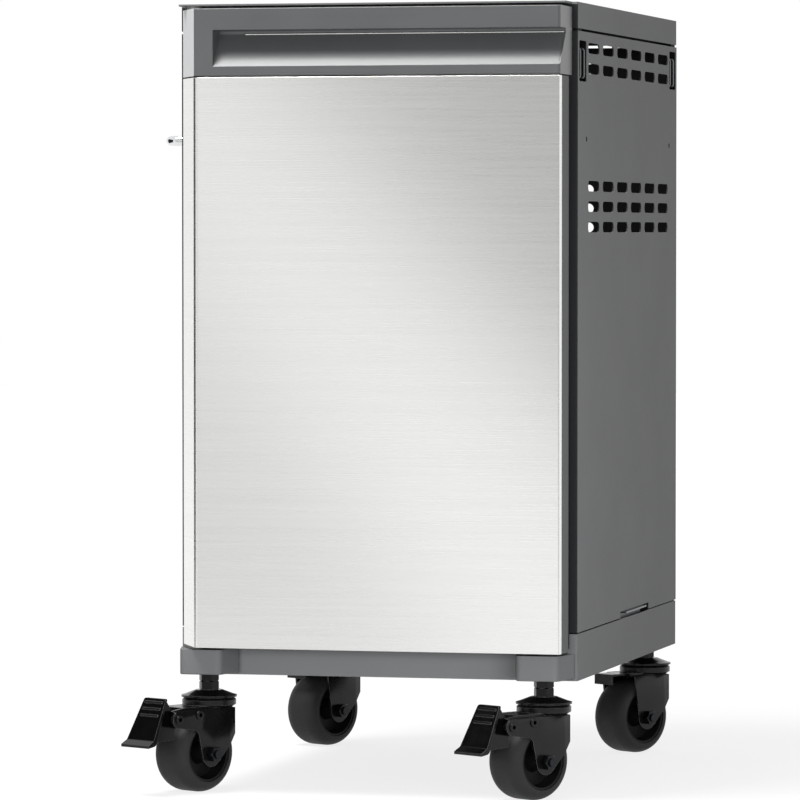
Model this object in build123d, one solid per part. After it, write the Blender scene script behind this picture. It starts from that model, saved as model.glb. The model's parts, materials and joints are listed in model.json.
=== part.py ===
"""Grill base cabinet on levelling casters: sheet-steel body, pivot-hung door and four casters.

Millimetres. X runs to the right seen from the front, Y to the back and Z up. The origin is on
the floor under the middle of the cabinet body.
"""
import os

from build123d import *

# Cabinet body
TOTAL_HEIGHT = 914.0
BODY_WIDTH = 473.0
BODY_DEPTH = 588.0
SHEET = 1.5
BEND_RADIUS = 2.5

# Base pan
BASE_WALL_HEIGHT = 54.0
FLOOR_RISE = 6.0
BASE_RETURN = 12.0
BASE_SEAM = 1.6

# Top frame with the lip that carries the upper door pin
TOP_FASCIA_HEIGHT = 30.0
GROOVE = 3.0
TOP_FLANGE = 30.0
LIP_SHEET = 2.3
LIP_REACH = 36.5
LIP_END_INSET = 6.5
LIP_CORNER = 4.0
WORKTOP_HOLE_RADIUS = 3.3
WORKTOP_HOLE_IN_X = 16.0
WORKTOP_HOLE_IN_Y = 60.0

# Side panels
FRONT_FLANGE = 26.0
VENT_LENGTH = 62.0
VENT_HEIGHT = 12.3
VENT_PITCH = 82.3
VENT_COLUMNS = 6
VENT_ROW_PITCH = 23.7
HIGH_VENT_DROP = 18.0
HIGH_VENT_ROWS = 2
LOW_VENT_DROP = 177.5
LOW_VENT_ROWS = 3
LINK_SLOT_WIDTH = 39.0
LINK_SLOT_HEIGHT = 47.0
LINK_SLOT_CORNER = 3.0
FRONT_LINK_DROP = 34.0
REAR_LINK_DROP = 29.8
LINK_SLOT_INSET = 27.0
NOTCH_LENGTH = 170.0
NOTCH_HEIGHT = 7.6
NOTCH_SHIFT = 35.0
BAR_HOLE_RADIUS = 3.3
BAR_HOLE_INSET = 48.0
BAR_HOLE_DROP = 123.5

# Back panel vents
HIGH_BACK_VENT_DROP = 14.1
BACK_VENT_LENGTH = 52.0
BACK_VENT_PITCH = 70.0
BACK_VENT_COLUMNS = 4

# Corner posts and link hardware inside
POST_LEG = 26.0
POST_SHEET = 2.0
POST_BEND = 3.0
HAT_SHEET = 2.0
HAT_DEPTH = 14.0
HAT_OVERLAP = 2.5
HAT_SIDE_GAP = 0.6
STAPLE_RADIUS = 1.2
STAPLE_HEIGHT = 36.0
STAPLE_DROP = 2.6
STAPLE_SPREAD = 20.0
STAPLE_BEND = 3.0
LINK_TAB_LENGTH = 121.0
LINK_TAB_SHIFT = 50.0
LINK_TAB_SHEET = 2.0
LINK_TAB_DEPTH = 24.0
LINK_TAB_STANDOFF = 9.0
LINK_LIP_DROP = 2.4
LINK_LIP_RECESS = 0.5

# Towel bar on the left side
BAR_RADIUS = 6.0
BAR_STANDOFF = 30.0
BAR_BEND = 14.0
BAR_STUD_RADIUS = 3.0
BAR_STUD_LENGTH = 14.0
BAR_NUT_FLATS = 10.0
BAR_NUT_HEIGHT = 5.0

# Front foot blocks that hold the front casters and the lower door pin
FOOT_DEPTH = 52.0
FOOT_FRONT_WIDTH = 48.0
FOOT_REAR_WIDTH = 69.0
FOOT_NECK_WIDTH = 54.0
FOOT_CORNER = 8.0
FOOT_RISE = 3.0
FOOT_SCREW_SPREAD = 40.0
FOOT_SCREW_RADIUS = 2.5
FOOT_SCREW_LENGTH = 12.0
FOOT_SCREW_HEAD = 5.0
FOOT_SCREW_HEAD_HEIGHT = 3.0

# Door
DOOR_GAP = 9.0
DOOR_THICKNESS = 63.0
DOOR_RIGHT_INSET = 5.0
DOOR_LEFT_INSET = 3.5
DOOR_BEVEL = 32.5
DOOR_BEVEL_CORNER = 4.0
DOOR_BOTTOM_GAP = 4.0
FOOT_TOP_DROP = 22.0
SKIN_SHEET = 1.2
SKIN_BEND = 8.0
SKIN_END = 6.0
SKIN_RETURN = 10.0
SKIN_RETURN_BEND = 2.0
DOOR_WALL = 1.5
CORE_DEPTH = 50.0
LINER_INSET = 2.5
TRIM_GAP = 0.5
TRIM_WIDTH = 33.0
TRIM_PROUD = 0.4

# Handle bezel along the top of the door
BEZEL_HEIGHT = 78.0
BEZEL_TOP_GAP = 4.0
BEZEL_SEAM = 1.5
BEZEL_EDGE = 1.4
BEZEL_WALL = 3.0
BAND_HEIGHT = 25.0
RECESS_HEIGHT = 42.0
RECESS_DEPTH = 30.5
RECESS_CORNER = 4.2
RECESS_FILLET = 2.4
RECESS_LEFT_MARGIN = 22.5
BEAD_RADIUS = 1.2
BEAD_START = 31.0
CAP_THICKNESS = 2.0
CAP_SEAM = 0.4

# Door pivots and catch
PIN_IN_X = 21.0
PIN_IN_Y = 45.0
PIN_RADIUS = 4.0
PIN_DEPTH = 14.0
PIN_SEAT = 16.0
BUSH_WALL = 2.5
BUSH_BOSS = 10.0
RUNNING_CLEARANCE = 0.05
SEAT_GAP = 0.3
CATCH_WIDTH = 16.0
CATCH_HEIGHT = 40.0
CATCH_LEVEL = 560.0
STRIKER_SHEET = 1.0

# Screws through the back panel into the rear posts
BACK_SCREW_RADIUS = 2.0
BACK_SCREW_HEAD = 4.5
BACK_SCREW_HEAD_HEIGHT = 2.2
BACK_SCREW_DOME = 1.5
CROSS_LENGTH = 4.6
CROSS_WIDTH = 1.2
CROSS_DEPTH = 1.2
BACK_SCREW_COUNT = 4
BACK_SCREW_MARGIN = 90.0

# Casters: stem places, levelling stem and swivel head
CASTER_IN_X = 36.5
FRONT_CASTER_OUT = 12.7
REAR_CASTER_IN = 14.7
LEFT_CASTER_TURN = -119.0
RIGHT_CASTER_TURN = -123.0
STUD_RADIUS = 7.0
NUT_FLATS = 21.0
NUT_HEIGHT = 10.0
NUT_CHAMFER = 1.2
INSERT_RADIUS = 11.0
INSERT_LENGTH = 27.0
STUD_IN_INSERT = 25.0
HEAD_RADIUS = 32.5
HEAD_HEIGHT = 9.0
HEAD_CROWN_RADIUS = 15.75
HEAD_LIP = 5.0
HEAD_UNDERCUT = 3.0
DISH_HEIGHT = 7.7
DISH_FLARE = 4.0
DISH_EDGE = 2.0
KINGPIN_RADIUS = 8.0
KINGPIN_HEAD_RADIUS = 12.0
KINGPIN_HEAD_HEIGHT = 3.0
REAR_PLATE_WIDTH = 70.0
REAR_PLATE_DEPTH = 56.0

# Casters: fork, wheel and brake
WHEEL_RADIUS = 45.0
TREAD_WIDTH = 32.0
TREAD_SHOULDER = 10.0
RIM_RADIUS = 33.0
RIM_WALL = 3.0
RIM_INSET = 1.5
RIM_FILLET = 3.0
WEB_THICKNESS = 12.0
HUB_RADIUS = 11.0
TRAIL = 25.0
AXLE_RADIUS = 5.0
AXLE_HEAD_FLATS = 16.0
AXLE_HEAD_HEIGHT = 6.0
AXLE_NUT_HEIGHT = 9.0
AXLE_END = 2.5
FORK_SHEET = 2.5
FORK_HEADROOM = 10.0
FORK_INSIDE = 36.0
FORK_DISH_RADIUS = 31.5
FORK_BACK = 24.0
FORK_BACK_DROP = 24.0
FORK_BACK_BEND = 6.0
FORK_SHOULDER = 4.0
FORK_TUCK_AT = 16.0
FORK_TUCK = 2.5
FORK_BACK_TUCK = 10.5
FORK_CROTCH_BEND = 8.0
FORK_END_RADIUS = 15.0
NOSE_REACH = 78.0
NOSE_DROP = 12.0
NOSE_RADIUS = 10.0
SPACER_REACH = 45.0
SPACER_DROP = 8.5
RIVET_RADIUS = 3.5
RIVET_HEAD_RADIUS = 5.5
RIVET_HEAD_HEIGHT = 2.0
RIVET_HEAD_ROUND = 1.2
RIVET_HOLLOW = 2.4
TONGUE_REACH = 74.0
TONGUE_WIDTH = 30.0
TONGUE_DROP = 13.0
PEDAL_SHEET = 3.0
PEDAL_TOP_WIDTH = 35.0
PEDAL_LOW_WIDTH = 45.0
PEDAL_CORNER = 3.0
PEDAL_TOP_OUT = 10.0
PEDAL_TOP_RISE = 24.0
PEDAL_LOW_OUT = 34.0
PEDAL_LOW_DROP = 26.0
PEDAL_LIP_OUT = 9.0
PEDAL_LIP_DROP = 5.0
EAR_RADIUS = 9.0
SHOE_DROP = 24.0
SHOE_BACK = 5.0
SHOE_SHEET = 4.5
PEDAL_RIDGES = 3
RIDGE_PITCH = 7.5
RIDGE_RADIUS = 1.5

# Places worked out from the sizes above
HALF_WIDTH = BODY_WIDTH / 2
FRONT_Y = -BODY_DEPTH / 2
BACK_Y = BODY_DEPTH / 2
INNER_X = HALF_WIDTH - SHEET
CASTER_X = HALF_WIDTH - CASTER_IN_X
FORK_TOP_Z = 2 * WHEEL_RADIUS + FORK_HEADROOM
DISH_TOP_Z = FORK_TOP_Z + DISH_HEIGHT
HEAD_Z = DISH_TOP_Z + SEAT_GAP
STEM_HEX_Z = HEAD_Z + HEAD_HEIGHT
JAM_NUT_Z = STEM_HEX_Z + NUT_HEIGHT
CASTER_SEAT_Z = JAM_NUT_Z + NUT_HEIGHT
BODY_UNDERSIDE = CASTER_SEAT_Z - FOOT_RISE
FASCIA_Z = TOTAL_HEIGHT - TOP_FASCIA_HEIGHT
PANEL_TOP_Z = FASCIA_Z - GROOVE
BASE_TOP_Z = BODY_UNDERSIDE + BASE_WALL_HEIGHT
PANEL_LOW_Z = BASE_TOP_Z + BASE_SEAM
FLOOR_Z = BODY_UNDERSIDE + FLOOR_RISE
FLOOR_TOP_Z = FLOOR_Z + SHEET
FOOT_TOP_Z = BASE_TOP_Z - FOOT_TOP_DROP
LINK_SLOT_Y = BACK_Y - LINK_SLOT_INSET
FRONT_LINK_Z = PANEL_TOP_Z - FRONT_LINK_DROP
REAR_LINK_Z = PANEL_TOP_Z - REAR_LINK_DROP
LINK_SLOTS = ((-LINK_SLOT_Y, FRONT_LINK_Z), (LINK_SLOT_Y, REAR_LINK_Z))
HAT_HALF_HEIGHT = LINK_SLOT_HEIGHT / 2 + HAT_OVERLAP
BAR_Z = PANEL_TOP_Z - BAR_HOLE_DROP
BAR_HOLE_Y = BACK_Y - BAR_HOLE_INSET

DOOR_REAR_Y = FRONT_Y - DOOR_GAP
DOOR_FRONT_Y = DOOR_REAR_Y - DOOR_THICKNESS
DOOR_RIGHT_X = HALF_WIDTH - DOOR_RIGHT_INSET
DOOR_LEFT_X = -HALF_WIDTH + DOOR_LEFT_INSET
CAP_X = DOOR_RIGHT_X - CAP_THICKNESS
DOOR_BOTTOM_Z = FOOT_TOP_Z + DOOR_BOTTOM_GAP
LIP_UNDER_Z = TOTAL_HEIGHT - LIP_SHEET
BEZEL_TOP_Z = LIP_UNDER_Z - BEZEL_TOP_GAP
BEZEL_LOW_Z = BEZEL_TOP_Z - BEZEL_HEIGHT
PANEL_SKIN_TOP_Z = BEZEL_LOW_Z - BEZEL_SEAM
RECESS_TOP_Z = BEZEL_TOP_Z - BAND_HEIGHT
RECESS_LOW_Z = RECESS_TOP_Z - RECESS_HEIGHT
RECESS_DEEP_Y = DOOR_FRONT_Y + RECESS_DEPTH
CORE_REAR_Y = DOOR_FRONT_Y + SKIN_SHEET + CORE_DEPTH
PIN_X = DOOR_LEFT_X + PIN_IN_X
PIN_Y = DOOR_FRONT_Y + PIN_IN_Y

FRONT_CASTER_Y = FRONT_Y - FRONT_CASTER_OUT
REAR_CASTER_Y = BACK_Y - REAR_CASTER_IN
FORK_OUTSIDE = FORK_INSIDE + 2 * FORK_SHEET
NOSE_Z = FORK_TOP_Z - NOSE_DROP
SPACER_Z = FORK_TOP_Z - SPACER_DROP
CASTERS = {
    "front_left": (-CASTER_X, FRONT_CASTER_Y, LEFT_CASTER_TURN),
    "front_right": (CASTER_X, FRONT_CASTER_Y, RIGHT_CASTER_TURN),
    "rear_left": (-CASTER_X, REAR_CASTER_Y, LEFT_CASTER_TURN),
    "rear_right": (CASTER_X, REAR_CASTER_Y, RIGHT_CASTER_TURN),
}
BRAKED = ("front_left", "front_right")

# How far a cutting shape runs past the face it cuts
OVERCUT = 1.0


def block(x0, x1, y0, y1, z0, z1):
    """Box between two corners."""
    centre = Pos((x0 + x1) / 2, (y0 + y1) / 2, (z0 + z1) / 2)
    return centre * Box(x1 - x0, y1 - y0, z1 - z0)


def rod(start, end, radius):
    """Round bar between two points."""
    line = Edge.make_line(start, end)
    return extrude(Plane(start, z_dir=line % 0) * Circle(radius), line.length)


def upright(x, y, z0, z1, radius):
    """Round bar standing between two levels."""
    return rod((x, y, z0), (x, y, z1), radius)


def across(u, z, half, radius):
    """Round bar from side to side of a caster, square to its rolling direction."""
    return rod((u, -half, z), (u, half, z), radius)


def hex_prism(z0, height, flats):
    """Hexagon standing on z0 about the Z axis, its corners chamfered."""
    prism = Pos(0, 0, z0) * extrude(RegularPolygon(flats / 2, 6, major_radius=False), height)
    turned = upright(0, 0, z0, z0 + height, flats / 2 + NUT_CHAMFER)
    return prism & chamfer(turned.edges().filter_by(GeomType.CIRCLE), NUT_CHAMFER)


def outline(points, rounding=None):
    """Closed face through the points, with the numbered corners rounded."""
    radii = [0.0] * len(points)
    for index, radius in (rounding or {}).items():
        radii[index] = radius
    return make_face(FilletPolyline(*points, radius=radii, close=True))


def both_sides(shape):
    """The shape and its mirror image across the middle of the cabinet."""
    return [shape, mirror(shape, Plane.YZ)]


def slot_rows(top_z, rows, columns, pitch, length):
    """Flat face of vent slots in rows that hang down from top_z, centred on the first axis."""
    slots = []
    for row in range(rows):
        for column in range(columns):
            place = (column - (columns - 1) / 2) * pitch
            slots.append(Pos(place, top_z - row * VENT_ROW_PITCH) * SlotOverall(length, VENT_HEIGHT))
    return Sketch() + slots


def vents(high_drop, columns, pitch, length):
    """Both groups of vent slots, the high one and the low one."""
    high = slot_rows(PANEL_TOP_Z - high_drop, HIGH_VENT_ROWS, columns, pitch, length)
    low = slot_rows(PANEL_TOP_Z - LOW_VENT_DROP, LOW_VENT_ROWS, columns, pitch, length)
    return high + low


def inside_plan():
    """Plan of the room inside the body's sheet walls."""
    hollow = Rectangle(BODY_WIDTH - 2 * SHEET, BODY_DEPTH - 2 * SHEET)
    return fillet(hollow.vertices(), BEND_RADIUS - SHEET)


def ring_wall(z0, z1):
    """Four upright sheet walls round the body's outline, with bent corners."""
    outer = fillet(Rectangle(BODY_WIDTH, BODY_DEPTH).vertices(), BEND_RADIUS)
    return Pos(0, 0, z0) * extrude(outer - inside_plan(), z1 - z0)


def ring_flange(width, z0):
    """Flat inward flange round the body's outline."""
    outer = fillet(Rectangle(BODY_WIDTH, BODY_DEPTH).vertices(), BEND_RADIUS)
    opening = Rectangle(BODY_WIDTH - 2 * width, BODY_DEPTH - 2 * width)
    return Pos(0, 0, z0) * extrude(outer - opening, SHEET)


def base_pan():
    """Walls of the base with inward returns below, cut for the rear casters and the foot screws."""
    pan = ring_wall(BODY_UNDERSIDE, BASE_TOP_Z) + ring_flange(BASE_RETURN, BODY_UNDERSIDE)
    for x in (-CASTER_X, CASTER_X):
        pan -= rear_jam_nut_room(x)
        for screw_x, seat_y in foot_screw_places(x):
            pan -= foot_screw_hole(screw_x, FRONT_Y - OVERCUT, FRONT_Y + SHEET + OVERCUT)
    return pan


def base_floor():
    """Floor sheet welded between the base walls, with holes for the rear caster inserts."""
    floor = Pos(0, 0, FLOOR_Z) * extrude(inside_plan(), SHEET)
    bore = INSERT_RADIUS + RUNNING_CLEARANCE
    for x in (-CASTER_X, CASTER_X):
        floor -= upright(x, REAR_CASTER_Y, FLOOR_Z - OVERCUT, FLOOR_TOP_Z + OVERCUT, bore)
    return floor


def rear_jam_nut_room(x):
    """Cut in the pan's lower return that leaves room for a rear caster's nut and plate."""
    half = REAR_PLATE_WIDTH / 2 + SEAT_GAP
    inside = BACK_Y - SHEET
    return block(x - half, x + half, inside - REAR_PLATE_DEPTH, inside, BODY_UNDERSIDE - OVERCUT, FLOOR_Z)


def foot_screw_places(x):
    """Place along X of a foot's two screws with the Y their heads sit at: on the wall and on the post."""
    outward = FOOT_SCREW_SPREAD / 2 if x > 0 else -FOOT_SCREW_SPREAD / 2
    wall = FRONT_Y + SHEET
    return [(x - outward, wall), (x + outward, wall + POST_SHEET)]


def foot_screw_hole(x, y0, y1):
    """Clearance hole for one foot screw between two depths."""
    level = foot_screw_level()
    return rod((x, y0, level), (x, y1, level), FOOT_SCREW_RADIUS + RUNNING_CLEARANCE)


def foot_screw_level():
    """Height of the foot screws, half-way up the foot blocks."""
    return (CASTER_SEAT_Z + FOOT_TOP_Z) / 2


def top_frame():
    """Fascia, top flange with worktop holes, and the front lip over the door."""
    frame = ring_wall(FASCIA_Z, TOTAL_HEIGHT) + ring_flange(TOP_FLANGE, TOTAL_HEIGHT - SHEET)
    half_lip = HALF_WIDTH - LIP_END_INSET
    lip_front = FRONT_Y - LIP_REACH
    lip_rear = FRONT_Y + SHEET
    lip_face = outline(
        [(-half_lip, lip_front), (half_lip, lip_front), (half_lip, lip_rear), (-half_lip, lip_rear)],
        {0: LIP_CORNER, 1: LIP_CORNER},
    )
    frame += Pos(0, 0, LIP_UNDER_Z) * extrude(lip_face, LIP_SHEET)
    above = TOTAL_HEIGHT + OVERCUT
    frame -= upright(PIN_X, PIN_Y, LIP_UNDER_Z - OVERCUT, above, PIN_RADIUS + RUNNING_CLEARANCE)
    for x in (-HALF_WIDTH + WORKTOP_HOLE_IN_X, HALF_WIDTH - WORKTOP_HOLE_IN_X):
        for y in (FRONT_Y + WORKTOP_HOLE_IN_Y, BACK_Y - WORKTOP_HOLE_IN_Y):
            frame -= upright(x, y, FASCIA_Z, above, WORKTOP_HOLE_RADIUS)
    return frame


def side_panel():
    """Right side panel: plate with a front flange, vents, link slots, bar holes and a link notch."""
    height = PANEL_TOP_Z - PANEL_LOW_Z
    corner = outline(
        [
            (HALF_WIDTH, BACK_Y),
            (HALF_WIDTH, FRONT_Y),
            (HALF_WIDTH - FRONT_FLANGE, FRONT_Y),
            (HALF_WIDTH - FRONT_FLANGE, FRONT_Y + SHEET),
            (INNER_X, FRONT_Y + SHEET),
            (INNER_X, BACK_Y),
        ],
        {1: BEND_RADIUS, 4: BEND_RADIUS - SHEET},
    )
    panel = Pos(0, 0, PANEL_LOW_Z) * extrude(corner, height)
    cuts = vents(HIGH_VENT_DROP, VENT_COLUMNS, VENT_PITCH, VENT_LENGTH)
    link_slot = RectangleRounded(LINK_SLOT_WIDTH, LINK_SLOT_HEIGHT, LINK_SLOT_CORNER)
    for y, z in LINK_SLOTS:
        cuts += Pos(y, z) * link_slot
    for y in (-BAR_HOLE_Y, BAR_HOLE_Y):
        cuts += Pos(y, BAR_Z) * Circle(BAR_HOLE_RADIUS)
    cuts += Pos(NOTCH_SHIFT, PANEL_LOW_Z) * Rectangle(NOTCH_LENGTH, 2 * NOTCH_HEIGHT)
    cutter = Pos(INNER_X - SHEET, 0, 0) * extrude(Plane.YZ * cuts, 3 * SHEET)
    return panel - cutter


def back_panel():
    """Plain back sheet between the side panels, with vents and screw holes."""
    sheet = block(-INNER_X, INNER_X, BACK_Y - SHEET, BACK_Y, PANEL_LOW_Z, PANEL_TOP_Z)
    cuts = vents(HIGH_BACK_VENT_DROP, BACK_VENT_COLUMNS, BACK_VENT_PITCH, BACK_VENT_LENGTH)
    for x, z in back_screw_places():
        cuts += Pos(x, z) * Circle(BACK_SCREW_RADIUS + RUNNING_CLEARANCE)
    return sheet - Pos(0, BACK_Y + SHEET, 0) * extrude(Plane.XZ * cuts, 3 * SHEET)


def back_screw_places():
    """Places of the back screws, evenly spread down each rear post."""
    low = PANEL_LOW_Z + BACK_SCREW_MARGIN
    step = (PANEL_TOP_Z - BACK_SCREW_MARGIN - low) / (BACK_SCREW_COUNT - 1)
    column = INNER_X - POST_LEG / 2
    return [(x, low + k * step) for x in (-column, column) for k in range(BACK_SCREW_COUNT)]


def back_screws():
    """Pan-head screws with cross recesses that hold the back panel on the rear posts."""
    face = BACK_Y + BACK_SCREW_HEAD_HEIGHT
    screws = []
    for x, z in back_screw_places():
        shank = rod((x, BACK_Y - SHEET - POST_SHEET, z), (x, BACK_Y, z), BACK_SCREW_RADIUS)
        head = rod((x, BACK_Y, z), (x, face, z), BACK_SCREW_HEAD)
        screw = shank + fillet(head.edges().sort_by(Axis.Y)[-1], BACK_SCREW_DOME)
        for wide, tall in ((CROSS_LENGTH, CROSS_WIDTH), (CROSS_WIDTH, CROSS_LENGTH)):
            screw -= Pos(x, face, z) * Box(wide, 2 * CROSS_DEPTH, tall)
        screws.append(screw)
    return screws


def corner_post(front):
    """Angle post in a right-hand corner, from the pan's floor to the top flange."""
    corner = [
        (INNER_X, FRONT_Y + SHEET),
        (INNER_X, FRONT_Y + SHEET + POST_LEG),
        (INNER_X - POST_SHEET, FRONT_Y + SHEET + POST_LEG),
        (INNER_X - POST_SHEET, FRONT_Y + SHEET + POST_SHEET),
        (INNER_X - POST_LEG, FRONT_Y + SHEET + POST_SHEET),
        (INNER_X - POST_LEG, FRONT_Y + SHEET),
    ]
    bends = {0: POST_BEND, 3: POST_BEND - POST_SHEET}
    post = Pos(0, 0, FLOOR_TOP_Z) * extrude(outline(corner, bends), TOTAL_HEIGHT - SHEET - FLOOR_TOP_Z)
    window_z = FRONT_LINK_Z if front else REAR_LINK_Z
    window_half = HAT_HALF_HEIGHT + HAT_SIDE_GAP
    post -= block(
        INNER_X - POST_SHEET,
        INNER_X,
        FRONT_Y + SHEET + POST_SHEET,
        FRONT_Y + SHEET + POST_LEG,
        window_z - window_half,
        window_z + window_half,
    )
    if front:
        outer_x, seat_y = foot_screw_places(CASTER_X)[1]
        return post - foot_screw_hole(outer_x, FRONT_Y, seat_y + OVERCUT)
    post = mirror(post, Plane.XZ)
    for x, z in back_screw_places():
        post -= rod((x, BACK_Y, z), (x, BACK_Y - 3 * POST_SHEET, z), BACK_SCREW_RADIUS + RUNNING_CLEARANCE)
    return post


def at_link_slots(shape):
    """Copies of a right-hand shape made about Y and Z zero, one at each of the four link slots."""
    right = [Pos(0, y, z) * shape for y, z in LINK_SLOTS]
    return [copy for piece in right for copy in both_sides(piece)]


def link_brackets():
    """Hat-shaped brackets that close the four link slots from behind."""
    half = LINK_SLOT_WIDTH / 2 + HAT_SIDE_GAP
    back = INNER_X - HAT_DEPTH
    wide = half + HAT_SHEET
    hat = block(back, back + HAT_SHEET, -wide, wide, -HAT_HALF_HEIGHT, HAT_HALF_HEIGHT)
    for leg in (-wide, half):
        hat += block(back, INNER_X, leg, leg + HAT_SHEET, -HAT_HALF_HEIGHT, HAT_HALF_HEIGHT)
    return at_link_slots(hat)


def link_staples():
    """Wire staples on the brackets, flush with the side panels, that take a neighbour's hooks."""
    seat = INNER_X - HAT_DEPTH + HAT_SHEET
    face = HALF_WIDTH - STAPLE_RADIUS
    high = STAPLE_HEIGHT / 2 - STAPLE_RADIUS - STAPLE_DROP
    low = STAPLE_RADIUS - STAPLE_HEIGHT / 2 - STAPLE_DROP
    staples = []
    for y in (-STAPLE_SPREAD / 2, STAPLE_SPREAD / 2):
        path = FilletPolyline(
            (seat, y, low),
            (face, y, low),
            (face, y, high),
            (seat, y, high),
            radius=STAPLE_BEND,
        )
        wire = sweep(Plane(path @ 0, z_dir=path % 0) * Circle(STAPLE_RADIUS), path)
        staples += at_link_slots(wire)
    return staples


def link_tabs():
    """Channels inside the base walls whose upper lips stand in the notches of the side panels."""
    foot = BASE_TOP_Z - LINK_TAB_DEPTH
    top = PANEL_LOW_Z + NOTCH_HEIGHT - LINK_LIP_DROP
    back = INNER_X - LINK_TAB_STANDOFF
    lip = HALF_WIDTH - LINK_LIP_RECESS
    inside = back + LINK_TAB_SHEET
    section = outline(
        [
            (INNER_X, foot),
            (INNER_X, foot + LINK_TAB_SHEET),
            (inside, foot + LINK_TAB_SHEET),
            (inside, top - LINK_TAB_SHEET),
            (lip, top - LINK_TAB_SHEET),
            (lip, top),
            (back, top),
            (back, foot),
        ],
        {6: LINK_TAB_SHEET, 7: LINK_TAB_SHEET},
    )
    channel = extrude(Plane.XZ * section, LINK_TAB_LENGTH / 2, both=True)
    return both_sides(Pos(0, LINK_TAB_SHIFT, 0) * channel)


def towel_bar():
    """Bent round bar on the left side with a threaded stud through the panel at each end."""
    wall = -HALF_WIDTH
    out = wall - BAR_STANDOFF
    path = FilletPolyline(
        (wall, -BAR_HOLE_Y, BAR_Z),
        (out, -BAR_HOLE_Y, BAR_Z),
        (out, BAR_HOLE_Y, BAR_Z),
        (wall, BAR_HOLE_Y, BAR_Z),
        radius=BAR_BEND,
    )
    bar = sweep(Plane(path @ 0, z_dir=path % 0) * Circle(BAR_RADIUS), path)
    for y in (-BAR_HOLE_Y, BAR_HOLE_Y):
        bar += rod((wall, y, BAR_Z), (wall + BAR_STUD_LENGTH, y, BAR_Z), BAR_STUD_RADIUS)
    return bar


def towel_bar_nuts():
    """Hexagon nuts on the bar's studs, tight against the inside of the left panel."""
    nut = hex_prism(0, BAR_NUT_HEIGHT, BAR_NUT_FLATS)
    nut -= upright(0, 0, -OVERCUT, BAR_NUT_HEIGHT + OVERCUT, BAR_STUD_RADIUS + RUNNING_CLEARANCE)
    turned = Rot(0, 90, 0) * nut
    return [Pos(-INNER_X, y, BAR_Z) * turned for y in (-BAR_HOLE_Y, BAR_HOLE_Y)]


def foot_block():
    """Right-hand flared foot in front of the base pan, bored for its caster insert and screws."""
    front = FRONT_Y - FOOT_DEPTH
    rear = FRONT_Y - DOOR_GAP
    half_front = FOOT_FRONT_WIDTH / 2
    half_rear = FOOT_REAR_WIDTH / 2
    half_neck = FOOT_NECK_WIDTH / 2
    flare = outline(
        [
            (-half_front, front),
            (half_front, front),
            (half_rear, rear),
            (half_neck, rear),
            (half_neck, FRONT_Y),
            (-half_neck, FRONT_Y),
            (-half_neck, rear),
            (-half_rear, rear),
        ],
        {0: FOOT_CORNER, 1: FOOT_CORNER},
    )
    foot = Pos(CASTER_X, 0, CASTER_SEAT_Z) * extrude(flare, FOOT_TOP_Z - CASTER_SEAT_Z)
    low_edges = foot.faces().sort_by(Axis.Z)[0].edges()
    foot = fillet([edge for edge in low_edges if edge.center().Y < rear - SEAT_GAP], BEZEL_EDGE)
    bore = INSERT_RADIUS + RUNNING_CLEARANCE
    foot -= upright(CASTER_X, FRONT_CASTER_Y, CASTER_SEAT_Z - OVERCUT, CASTER_SEAT_Z + INSERT_LENGTH, bore)
    for x, seat_y in foot_screw_places(CASTER_X):
        foot -= foot_screw_hole(x, FRONT_Y + OVERCUT, seat_y - FOOT_SCREW_LENGTH - RUNNING_CLEARANCE)
    return foot


def left_foot_block():
    """Left-hand foot with the seat of the lower door pin."""
    foot = mirror(foot_block(), Plane.YZ)
    seat = PIN_RADIUS + RUNNING_CLEARANCE
    return foot - upright(PIN_X, PIN_Y, FOOT_TOP_Z - PIN_SEAT, FOOT_TOP_Z + OVERCUT, seat)


def foot_screws():
    """Screws from inside the pan into the foot blocks."""
    screws = []
    for centre in (-CASTER_X, CASTER_X):
        for x, seat in foot_screw_places(centre):
            level = foot_screw_level()
            shank = rod((x, seat, level), (x, seat - FOOT_SCREW_LENGTH, level), FOOT_SCREW_RADIUS)
            head = rod((x, seat, level), (x, seat + FOOT_SCREW_HEAD_HEIGHT, level), FOOT_SCREW_HEAD)
            screws.append(shank + head)
    return screws


def rear_caster_plates():
    """Plates under the pan's floor that spread the load of the rear casters."""
    inside = BACK_Y - SHEET
    half = REAR_PLATE_WIDTH / 2
    bore = INSERT_RADIUS + RUNNING_CLEARANCE
    plates = []
    for x in (-CASTER_X, CASTER_X):
        plate = block(x - half, x + half, inside - REAR_PLATE_DEPTH, inside, CASTER_SEAT_Z, FLOOR_Z)
        plates.append(plate - upright(x, REAR_CASTER_Y, CASTER_SEAT_Z - OVERCUT, FLOOR_Z + OVERCUT, bore))
    return plates


def at_stems(shape):
    """Copies of a shape made round the Z axis, one on each caster's stem axis."""
    return [Pos(x, y, 0) * shape for x, y, turn in CASTERS.values()]


def caster_inserts():
    """Threaded sleeves that take the caster studs."""
    top = CASTER_SEAT_Z + INSERT_LENGTH
    sleeve = upright(0, 0, CASTER_SEAT_Z, top, INSERT_RADIUS)
    sleeve -= upright(0, 0, CASTER_SEAT_Z - OVERCUT, top + OVERCUT, STUD_RADIUS + RUNNING_CLEARANCE)
    return at_stems(sleeve)


def jam_nuts():
    """Lock nuts run up against the foot blocks and rear plates."""
    nut = hex_prism(JAM_NUT_Z, NUT_HEIGHT, NUT_FLATS)
    nut -= upright(0, 0, JAM_NUT_Z - OVERCUT, CASTER_SEAT_Z + OVERCUT, STUD_RADIUS + RUNNING_CLEARANCE)
    return at_stems(nut)


def bevel_x(y, inset):
    """X of the door's left bevel at one depth, moved in by an inset square to the bevel."""
    slope = DOOR_BEVEL / DOOR_THICKNESS
    along = DOOR_LEFT_X + DOOR_BEVEL * (DOOR_REAR_Y - y) / DOOR_THICKNESS
    return along + inset * (1 + slope ** 2) ** 0.5


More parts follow.
